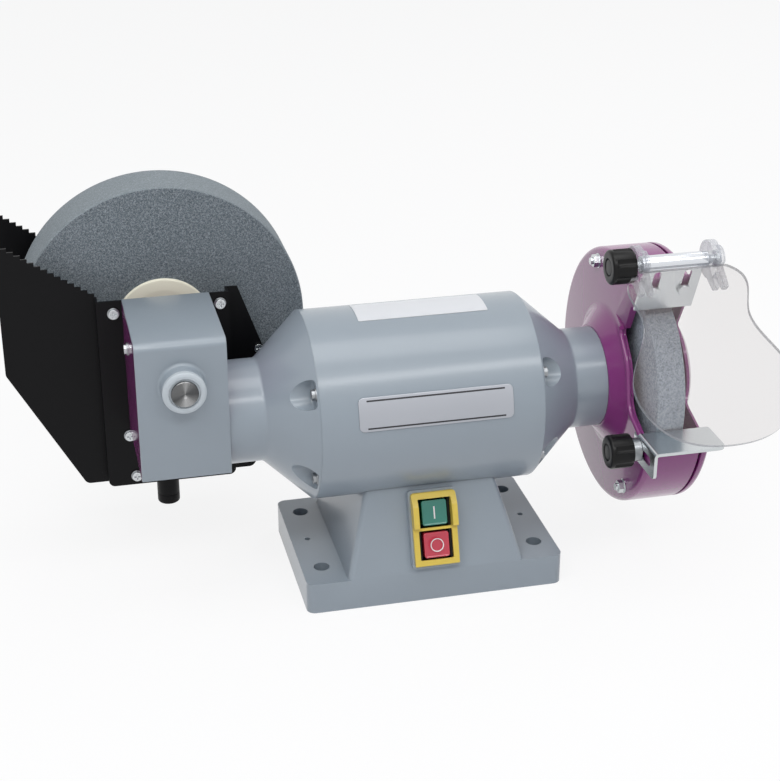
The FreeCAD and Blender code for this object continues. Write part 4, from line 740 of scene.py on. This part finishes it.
def makeSwitch(look):
    foot = Vector(look["slopeFoot"])
    up = (Vector(look["slopeTop"]) - foot).normalized()
    ups = {"on": look["middleUp"] + look["pitch"] / 2, "off": look["middleUp"] - look["pitch"] / 2}
    makeFrame(look, foot, up, ups)
    for word, finish in (("on", "green_plastic"), ("off", "red_plastic")):
        makeButton(word, finish, look, foot + up * ups[word], up)


makeSwitch(switch)
print("switch ready")

# gear case: folded cover with a nose, a pale ring and the end of the wet spindle
gearCase = {
    "sheet": 2.0, "knee": 5.5, "edge": 0.5, "noseR": 14.5, "noseFlare": 2.5, "noseFoot": 2.45,
    "noseRound": 0.6, "noseBore": 8.0, "noseSink": 0.5}
ring = {"gap": 0.2, "boreR": 7.6, "backRound": 1.2, "taper": 2.2, "proud": 1.0, "frontRound": 0.9,
        "lipR": 10.4, "lipRound": 0.6, "lipSlope": 0.4}
spindle = {
    "capR": 9.0, "capThick": 2.0, "capRound": 0.7, "centreR": 2.0, "centreRimR": 3.2, "centreDeep": 0.5,
    "centreRounds": (0.3, 0.6), "r": 7.0, "endRound": 1.0, "collarR": 12.0, "collarLong": 6,
    "collarRound": 0.8}


def makeCaseCover(look):
    low, high = spanOf("gear_case_cover")
    t = look["sheet"]
    frontY = lowOf("gear_case").y - t
    outline = [(frontY, low.z), (frontY, high.z, look["knee"]), (high.y, high.z), (high.y, high.z - t),
               (frontY + t, high.z - t, look["knee"] - t), (frontY + t, low.z)]
    cover = slab(outline, Vector((0, 0, 0)), alongY, alongZ, low.x, high.x, segments=8)
    soften(cover, look["edge"], angle=40, segments=2)
    sunk, flareR = frontY + look["noseSink"], look["noseR"] + look["noseFlare"]
    nose = lathe([(sunk, look["noseBore"]), (sunk, flareR), (frontY, flareR),
                  (frontY, look["noseR"], look["noseFoot"]), (low.y, look["noseR"], look["noseRound"]),
                  (low.y, look["noseBore"])], spindleLine, alongY, steps=96)
    newPiece("caseCover", together(cover, nose), "grey_paint", ["gear_case_cover"], smooth=40)


def makeRing(look, outerR):
    low, high = spanOf("spindle_seal")
    front = low.y - look["proud"]
    profile = [(high.y, look["boreR"]), (high.y, outerR - look["gap"]), (low.y, outerR, look["backRound"]),
               (front, outerR - look["taper"], look["frontRound"]), (front, look["lipR"], look["lipRound"]),
               (low.y, look["lipR"] - look["lipSlope"]), (low.y, look["boreR"])]
    newPiece("paleRing", lathe(profile, spindleLine, alongY, steps=96), "seal_white", ["spindle_seal"])


def makeSpindle(look):
    face, end = lowOf("wet_spindle").y, highOf("wet_spindle").y
    floor, behind = face + look["centreDeep"], face + look["capThick"]
    wheelY = lowOf("hub_flanges").y
    collar = wheelY - look["collarLong"]
    innerRound, outerRound = look["centreRounds"]
    profile = [(floor, 0), (floor, look["centreR"], innerRound), (face, look["centreRimR"], outerRound),
               (face, look["capR"], look["capRound"]), (behind, look["capR"]), (behind, look["r"]),
               (collar, look["r"]), (collar, look["collarR"], look["collarRound"]),
               (wheelY, look["collarR"]), (wheelY, look["r"]), (end, look["r"], look["endRound"]), (end, 0)]
    newPiece("wetSpindle", lathe(profile, spindleLine, alongY, steps=72), "spun_steel", ["wet_spindle"])


makeCaseCover(gearCase)
makeRing(ring, gearCase["noseR"])
makeSpindle(spindle)

wetWheel = {"edge": 1.4, "boreR": 7.1, "hubDome": 0.9, "hubEdge": 1.2, "hubStep": 26.0, "hubRound": 6.0}


def makeWetWheel(look):
    stone = tube("wet_wheel", spindleLine, alongY, look["boreR"], look["edge"], steps=192)
    newPiece("wetWheel", stone, "wet_stone", ["wet_wheel"])
    hubR, flanges = radiusOf("hub_flanges", alongY), []
    for hub, side in zip(spanOf("hub_flanges"), spanOf("wet_wheel")):
        face, inner = hub.y, side.y
        shoulder = face + look["hubDome"] * (1 if inner > face else -1)
        profile = [(inner, look["boreR"]), (inner, hubR), (shoulder, hubR, look["hubEdge"]),
                   (face, look["hubStep"], look["hubRound"]), (face, look["boreR"])]
        flanges.append(lathe(profile, spindleLine, alongY, steps=96))
    newPiece("hubDiscs", together(*flanges), "cream_plastic", ["hub_flanges"])


makeWetWheel(wetWheel)
print("gear case and wet wheel ready")

# guard of the dry wheel: pressed cup and cover, each cut by a mouth, the cup's with a rolled rim
guard = {
    "sheet": 1.6, "discX": 138.5, "boreR": 14.0, "bossR": 50.0, "bossBlend": 9.0, "bossSlack": 0.6,
    "neckR": 36.9, "neckRound": 2.0, "neckInnerRound": 1.0, "cornerR": 4.6, "rimFrom": 0.4, "rimTo": 3.2,
    "roll": 2.9, "rollFromR": 45, "rollPast": 0.2, "flatFacing": -0.95, "sideFacing": -0.3, "bead": 1.9,
    "beadOut": 0.3, "beadTop": 48.5, "beadPast": 1.0, "tabX": (142.5, 175.5), "cutSpare": (3, 5),
    "mouth": [(-68.59, 120.77), (-46.39, 69.86, 2), (-38.04, 66.95, 4), (-26.78, 44.57, 5),
              (-44.57, 26.78, 25), (-51.5, -4, 14), (-77, -14, 4), (-131.2, -14), (-131.2, 120.77)],
    "tab": [(-56.6, 93.27), (-47.99, 73.52), (-46.16, 74.32), (-54.76, 94.07)],
    "facet": [(-15.4, 53.6), (-29.8, 72.6), (-31, 80), (-54, 84), (-44, 60), (-27.5, 46.5)],
    "facetTilt": 9.0, "facetFrom": 0.5, "facetBack": 6.5, "facetHigh": 12.0}


def mouthPoints(look, x):
    return [(shaftLine + Vector((x, p[0], p[1])), cornerOf(p)) for p in look["mouth"]]


def acrossShaft(outline, fromX, toX, segments=5):
    return slab(outline, shaftLine, alongY, alongZ, fromX, toX, segments)


def mouthCutter(outline, look, low, high):
    before, after = look["cutSpare"]
    return acrossShaft(outline, low - before, high + after, segments=8)


# Round bead that follows the mouth on the face of the cup.
def beadAlong(look, x, reachR):
    outline = bmesh.new()
    drawWire(outline, mouthPoints(look, x), segments=8)
    outline.verts.ensure_lookup_table()
    path, vert, cameBy = [], outline.verts[0], None
    while len(path) < len(outline.verts):
        path.append(vert.co / mm - shaftLine)
        cameBy = next(edge for edge in vert.link_edges if edge != cameBy)
        vert = cameBy.other_vert(vert)
    outline.free()
    outside = next(i for i, p in enumerate(path) if math.hypot(p.y, p.z) > reachR)
    path = path[outside:] + path[:outside]
    kept = [p for p in path if math.hypot(p.y, p.z) < reachR and p.z < look["beadTop"]]
    curve = bpy.data.curves.new("beadLine", "CURVE")
    curve.dimensions = "3D"
    curve.bevel_depth = look["bead"] * mm
    curve.bevel_resolution = 5
    curve.use_fill_caps = True
    line = curve.splines.new("POLY")
    line.points.add(len(kept) - 1)
    for point, place in zip(line.points, kept):
        point.co = (*((place + shaftLine) * mm), 1.0)
    holder = linked("beadLine", curve)
    bead = finishedShape(holder)
    bpy.data.batch_remove([holder, curve])
    return bead


# Turned shell of the cup: neck, boss, flat disc and wall.
def cupShell(look, lowX, highX, cupR):
    discX, t = look["discX"], look["sheet"]
    innerNeckR, innerBossR = look["neckR"] - look["bossSlack"], look["bossR"] - look["bossSlack"]
    outer = [(lowX, look["boreR"]), (lowX, look["neckR"], look["neckRound"]),
             (discX, look["bossR"], look["bossBlend"]), (discX, cupR, look["cornerR"]), (highX, cupR)]
    inner = [(highX, cupR - t), (discX + t, cupR - t, look["cornerR"] - t),
             (discX + t, innerBossR, look["bossBlend"] + t), (lowX + t, innerNeckR, look["neckInnerRound"]),
             (lowX + t, look["boreR"])]
    return lathe(outer + inner, shaftLine, alongX, steps=160)


# Lip behind the edge of the mouth, kept inside the cup.
def mouthLip(look, highX, cupR):
    discX, t = look["discX"], look["sheet"]
    lip = bmesh.new()
    drawWire(lip, mouthPoints(look, discX + look["rimFrom"]), segments=8)
    raised = bmesh.ops.extrude_edge_only(lip, edges=lip.edges[:])["geom"]
    bmesh.ops.translate(lip, vec=alongX * (look["rimTo"] - look["rimFrom"]) * mm, verts=vertsIn(raised))
    faceOut(lip)
    bmesh.ops.solidify(lip, geom=lip.faces[:], thickness=-t * mm)
    faceOut(lip)
    insideR = cupR - t / 2
    inside = lathe([(discX - 2, 0), (discX - 2, insideR), (highX, insideR), (highX, 0)], shaftLine, alongX,
                   steps=160)
    return carve(lip, inside, "INTERSECT")


# Presses in a sloping facet between the disc and the upper edge of the mouth.
def pressFacet(cup, look, foldStart, fold):
    discX = look["discX"]
    backing = acrossShaft(look["facet"], discX + look["facetFrom"], discX + look["facetBack"])
    cup = carve(cup, backing, "UNION")
    dip = acrossShaft(look["facet"], discX - look["facetHigh"], discX)
    turn = Matrix.Rotation(math.radians(look["facetTilt"]), 3, fold)
    bmesh.ops.rotate(dip, cent=foldStart * mm, matrix=turn, verts=dip.verts[:])
    return carve(cup, dip)


# Edges between the flat of the disc and the sides of the mouth.
def mouthEdges(cup, look, reachR):
    found = []
    for edge in cup.edges:
        ends = [v.co / mm - shaftLine for v in edge.verts]
        if len(edge.link_faces) != 2 or any(abs(e.x - look["discX"]) > flush for e in ends):
            continue
        flat, side = sorted(f.normal.x for f in edge.link_faces)
        near = all(look["rollFromR"] < math.hypot(e.y, e.z) < reachR for e in ends)
        if flat < look["flatFacing"] and side > look["sideFacing"] and near:
            found.append(edge)
    return found


def makeCup(look):
    low, high = spanOf("guard_inner")
    discX, cupR = look["discX"], high.y
    flatR = cupR - look["cornerR"]
    foldStart, foldEnd = (shaftLine + Vector((discX, *p)) for p in look["facet"][:2])
    fold = (foldEnd - foldStart).normalized()
    cup = cupShell(look, low.x, high.x, cupR)
    cup = carve(cup, mouthLip(look, high.x, cupR), "UNION")
    cup = carve(cup, acrossShaft(look["tab"], *look["tabX"]), "UNION")
    cup = pressFacet(cup, look, foldStart, fold)
    cup = carve(cup, mouthCutter(look["mouth"], look, discX, high.x))
    soften(cup, look["roll"], segments=5, chosen=mouthEdges(cup, look, flatR + look["rollPast"]))
    bead = beadAlong(look, discX - look["beadOut"], flatR + look["beadPast"])
    piece = newPiece("guardCup", together(cup, bead), "purple_paint", ["guard_inner"], smooth=40)
    fromFold = [(v.co / mm - foldStart).cross(fold).length for v in piece.data.vertices]
    for edge in piece.data.edges:   # the facet meets the disc in a crisp line
        if all(fromFold[i] < 2 * flush for i in edge.vertices):
            edge.use_edge_sharp = True


coverPan = {
    "groove": 2.2, "lipGap": 2.6, "cornerR": 3.4, "boss": 7.0, "bossR": 34.0, "bossFootR": 46.0,
    "bossRound": 4.0, "stepRound": 0.5, "lipRound": 0.4, "innerSlack": 0.96, "edge": 0.3,
    "mouth": [(-62, 120.77), (-38, 66.5, 3), (-30, 62.5, 4), (-18.5, 41, 5), (-36, 23.5, 25), (-43, -6, 14),
              (-69, -14, 4), (-131.2, -14), (-131.2, 120.77)]}


def makeCover(look, cupLook):
    low, high = spanOf("guard_cover")
    panR, t = high.y, cupLook["sheet"]
    lipR = panR - t - look["lipGap"]
    step = highOf("guard_inner").x + look["groove"]
    endX, discX = high.x, high.x - look["boss"]
    bossR, footR, blend = look["bossR"], look["bossFootR"], look["bossRound"]
    slack = look["innerSlack"]
    outer = [(endX, 0), (endX, bossR, blend), (discX, footR, blend), (discX, panR, look["cornerR"]),
             (step, panR, look["stepRound"]), (step, lipR, look["lipRound"]), (low.x, lipR)]
    inner = [(low.x, lipR - t), (step + t, lipR - t), (step + t, panR - t), (discX - t, panR - t),
             (discX - t, footR - slack, blend), (endX - t, bossR - slack, blend), (endX - t, 0)]
    pan = lathe(outer + inner, shaftLine, alongX, steps=160)
    pan = carve(pan, mouthCutter(look["mouth"], cupLook, low.x, high.x))
    newPiece("guardCover", pan, "purple_paint", ["guard_cover"], smooth=40, edge=look["edge"])


makeCup(guard)
makeCover(coverPan, guard)

dryWheel = {"edge": 0.9, "boreR": 8.0}


def makeDryWheel(look):
    wheel = tube("dry_wheel", shaftLine, alongX, look["boreR"], look["edge"], steps=160)
    newPiece("dryWheel", wheel, "dry_stone", ["dry_wheel"])


makeDryWheel(dryWheel)
print("guard and dry wheel ready")

# fluted knobs of the tool rest and the shield
knob = {
    "r": 11.6, "flutes": 6, "fluteR": 4.0, "fluteDeep": 1.6, "fluteFrom": 2.6, "fluteRound": 1.4,
    "front": 1.9, "back": 1.6, "edge": 0.6, "capR": 5.8, "capRim": 0.3, "capDeep": 0.7, "capGroove": 0.4,
    "capSlope": 0.4, "boreR": 3.2, "boreTo": 4.0}


def makeKnob(name, node, line, look):
    low, high = spanOf(node)
    rim, capR = look["capRim"], look["capR"]
    grooveX, boreX = low.x + look["capDeep"], low.x + look["boreTo"]
    innerR = capR - look["capGroove"]
    body = lathe([(low.x + rim, 0), (low.x + rim, innerR - look["capSlope"], rim), (grooveX, innerR),
                  (grooveX, capR), (low.x, capR + rim, rim), (low.x, look["r"], look["front"]),
                  (high.x, look["r"], look["back"]), (high.x, look["boreR"]), (boreX, look["boreR"]),
                  (boreX, 0)], line, alongX, steps=120)
    start, reach = low.x + look["fluteFrom"], look["r"] + look["fluteR"] - look["fluteDeep"]
    flute = [(start, 0), (start, look["fluteR"], look["fluteRound"]), (high.x + 1, look["fluteR"]),
             (high.x + 1, 0)]
    cutters = []
    for i in range(look["flutes"]):
        turn = math.tau / look["flutes"] * (i + 0.5)
        middle = line + Vector((0, reach * math.cos(turn), reach * math.sin(turn)))
        cutters.append(lathe(flute, middle, alongX, steps=24))
    body = carve(body, together(*cutters))
    newPiece(name, body, "knob_plastic", [node], edge=look["edge"], edgeSteps=3)


makeKnob("restKnob", "tool_rest_knob", studLine, knob)
makeKnob("shieldKnob", "shield_knob", rodLine, knob)

# tool rest: bent plate with an open slot in its flange
toolRest = {
    "sheet": 2.2, "bend": 3.2, "corner": 5.0, "rearCorner": 2.0, "flangeCorner": 3.6, "edge": 0.4,
    "wheelGap": 0.6, "slotHalf": 3.3, "slotFrom": 7.0, "slotPastStud": 3.5, "slotRound": 3.25}


def makeToolRest(look):
    low, high = spanOf("tool_rest")
    origin, t = Vector((0, 0, 0)), look["sheet"]
    section = [(low.x, low.z), (low.x, high.z, look["bend"]), (high.x, high.z), (high.x, high.z - t),
               (low.x + t, high.z - t, look["bend"] - t), (low.x + t, low.z)]
    angle = slab(section, origin, alongX, alongZ, -high.y, -low.y, segments=8)
    plateRear = lowOf("dry_wheel").y - look["wheelGap"]
    plan = [(low.x - 1, low.y), (high.x, low.y, look["corner"]), (high.x, plateRear, look["rearCorner"]),
            (low.x + t, plateRear), (low.x + t, high.y), (low.x - 1, high.y)]
    angle = carve(angle, slab(plan, origin, alongX, alongY, low.z - 5, high.z + 5), "INTERSECT")
    flange = [(low.y, high.z + 1), (low.y, low.z, look["flangeCorner"]),
              (high.y, low.z, look["flangeCorner"]), (high.y, high.z + 1)]
    angle = carve(angle, slab(flange, origin, alongY, alongZ, low.x - 1, high.x + 1), "INTERSECT")
    z, half = studLine.z, look["slotHalf"]
    slot = rectangle(z - half, z + half, low.y + look["slotFrom"],
                     studLine.y + look["slotPastStud"] + half, look["slotRound"])
    angle = carve(angle, slab(slot, origin, alongY, alongZ, low.x - 2, low.x + t + 2))
    newPiece("toolRest", angle, "zinc", ["tool_rest"], edge=look["edge"])


makeToolRest(toolRest)

# rod over the mouth, and the clear sheet that hangs from it
rod = {"boreR": 3.3, "edge": 0.9}
shield = {"tilt": 50.0, "edge": 0.7, "facingShare": 0.7}


def makeRod(look):
    bar = tube("shield_rod", rodLine, alongX, look["boreR"], look["edge"], steps=64)
    newPiece("shieldRod", bar, "chrome", ["shield_rod"])


def makeShield(look):
    tilt = math.radians(look["tilt"])
    outward = Vector((0, -math.cos(tilt), math.sin(tilt)))
    piece = newPiece("eyeShield", copyOf("eye_shield"), "clear_plastic", ["eye_shield"], edge=look["edge"],
                     edgeSteps=3)
    piece.data.materials.append(finishes["clear_edge"])
    for face in piece.data.polygons:
        if abs(face.normal.dot(outward)) < look["facingShare"]:   # the rim, not one of the two faces
            face.material_index = 1


makeRod(rod)
makeShield(shield)
print("knobs, rest, rod and shield ready")

# spout under the tank and the cap that closes it
drain = {"r": 8.2, "spoutTop": 57.0, "edge": 0.2, "corner": 1.6, "pinR": 4.9, "pinEdge": 0.5, "seam": 0.1}


def makeDrain(look):
    low, high = spanOf("drain_plug")
    middle = middleOf("drain_plug")
    line = Vector((middle.x, middle.y, 0))
    r, pinR, rim, top = look["r"], look["pinR"], lowOf("water_tank").z, look["spoutTop"]
    spout = [(rim, pinR), (rim, r, look["edge"]), (top, r), (top, pinR)]
    newPiece("spout", lathe(spout, line, alongZ, steps=72), "black_tank", partOf="water_tank")
    seam = rim - look["seam"]
    cap = [(low.z, 0), (low.z, r, look["corner"]), (seam, r, look["edge"]), (seam, pinR),
           (high.z, pinR, look["pinEdge"]), (high.z, 0)]
    newPiece("drainCap", lathe(cap, line, alongZ, steps=72), "black_tank", ["drain_plug"])


makeDrain(drain)

# washers under the screw heads
washers = {
    "tank_screws": {"axis": alongY, "overhang": 0.7, "thick": 0.9},
    "gear_case_screws": {"axis": alongX, "overhang": 1.0, "thick": 0.9},
    "end_bell_screws": {"axis": alongX, "overhang": 1.1, "thick": 0.7},
}
washer = {"leastHeadR": 3.4, "roundWithin": 0.05, "rimWithin": 0.2, "underHead": 0.5, "edge": 0.3}


# Connected parts of a mesh, each a list of places in millimetres.
def partsOf(bm):
    left, found = set(bm.verts), []
    while left:
        reach, part = [left.pop()], []
        while reach:
            vert = reach.pop()
            part.append(vert.co / mm)
            near = {edge.other_vert(vert) for edge in vert.link_edges} & left
            left -= near
            reach.extend(near)
        found.append(part)
    return found


# Ring under a round head. A part that isn't round, or has too small a head, gives none.
def washerUnder(part, axis, overhang, thick, look):
    low, high = (Vector([pick(p[i] for p in part) for i in range(3)]) for pick in (min, max))
    across = [size for size, share in zip(high - low, axis) if share < 0.5]
    if abs(across[0] - across[1]) > look["roundWithin"] or across[0] / 2 < look["leastHeadR"]:
        return None
    middle = (low + high) / 2
    line = middle - axis * middle.dot(axis)
    reach = [(p - line - axis * p.dot(axis)).length for p in part]
    headR = max(reach)
    rim = [p.dot(axis) for p, r in zip(part, reach) if r > headR - look["rimWithin"]]
    out = -1 if abs(min(rim) - low.dot(axis)) < abs(max(rim) - high.dot(axis)) else 1
    seat = max(rim) if out < 0 else min(rim)
    innerR, outerR, front = headR - look["underHead"], headR + overhang, seat + out * thick
    profile = [(seat, innerR), (seat, outerR), (front, outerR, look["edge"]), (front, innerR)]
    return lathe(profile, line, axis, steps=32)


def makeWashers(node, axis, overhang, thick, look):
    bm = copyOf(node)
    found = [washerUnder(part, axis, overhang, thick, look) for part in partsOf(bm)]
    bm.free()
    name = "washersOf" + "".join(w.capitalize() for w in node.split("_"))
    newPiece(name, together(*[ring for ring in found if ring]), "steel", partOf=node)


for nodeName, own in washers.items():
    makeWashers(nodeName, look=washer, **own)

# parts whose solids have the right shape: a merged copy, with its edges rounded by so many millimetres
copies = {
    "pedestal": 0.9, "gear_case": 0.8, "water_tank": 0.35, "tank_mount_plate": 0.3, "tank_screws": 0.8,
    "gear_case_screws": 0.6, "end_bell_screws": 0.6, "neck_screws": 0.5, "guard_bolts": 0.5,
    "spark_plate": 0.35, "spark_plate_screws": 0.5, "shield_clamps": 1.0, "shield_bolt": 0.4,
    "tool_rest_stud": 0.3, "cable_gland": 0.6, "wheel_flanges": 0.8, "spindle_nut": 0.6,
    "wet_wheel_nut": 0.6, "switch_body": 0.3}
copyFinishes = {"shield_clamps": "clear_mould", "end_bell_screws": "steel", "tool_rest_stud": "steel"}
for nodeName, width in copies.items():
    first, *others = nodeName.split("_")
    name = first + "".join(w.capitalize() for w in others)
    finish = copyFinishes.get(nodeName, slotOfNode[nodeName])
    newPiece(name, copyOf(nodeName), finish, [nodeName], edge=width, edgeSteps=3)
print("drain, washers and merged copies ready:", len(copies), "copies")
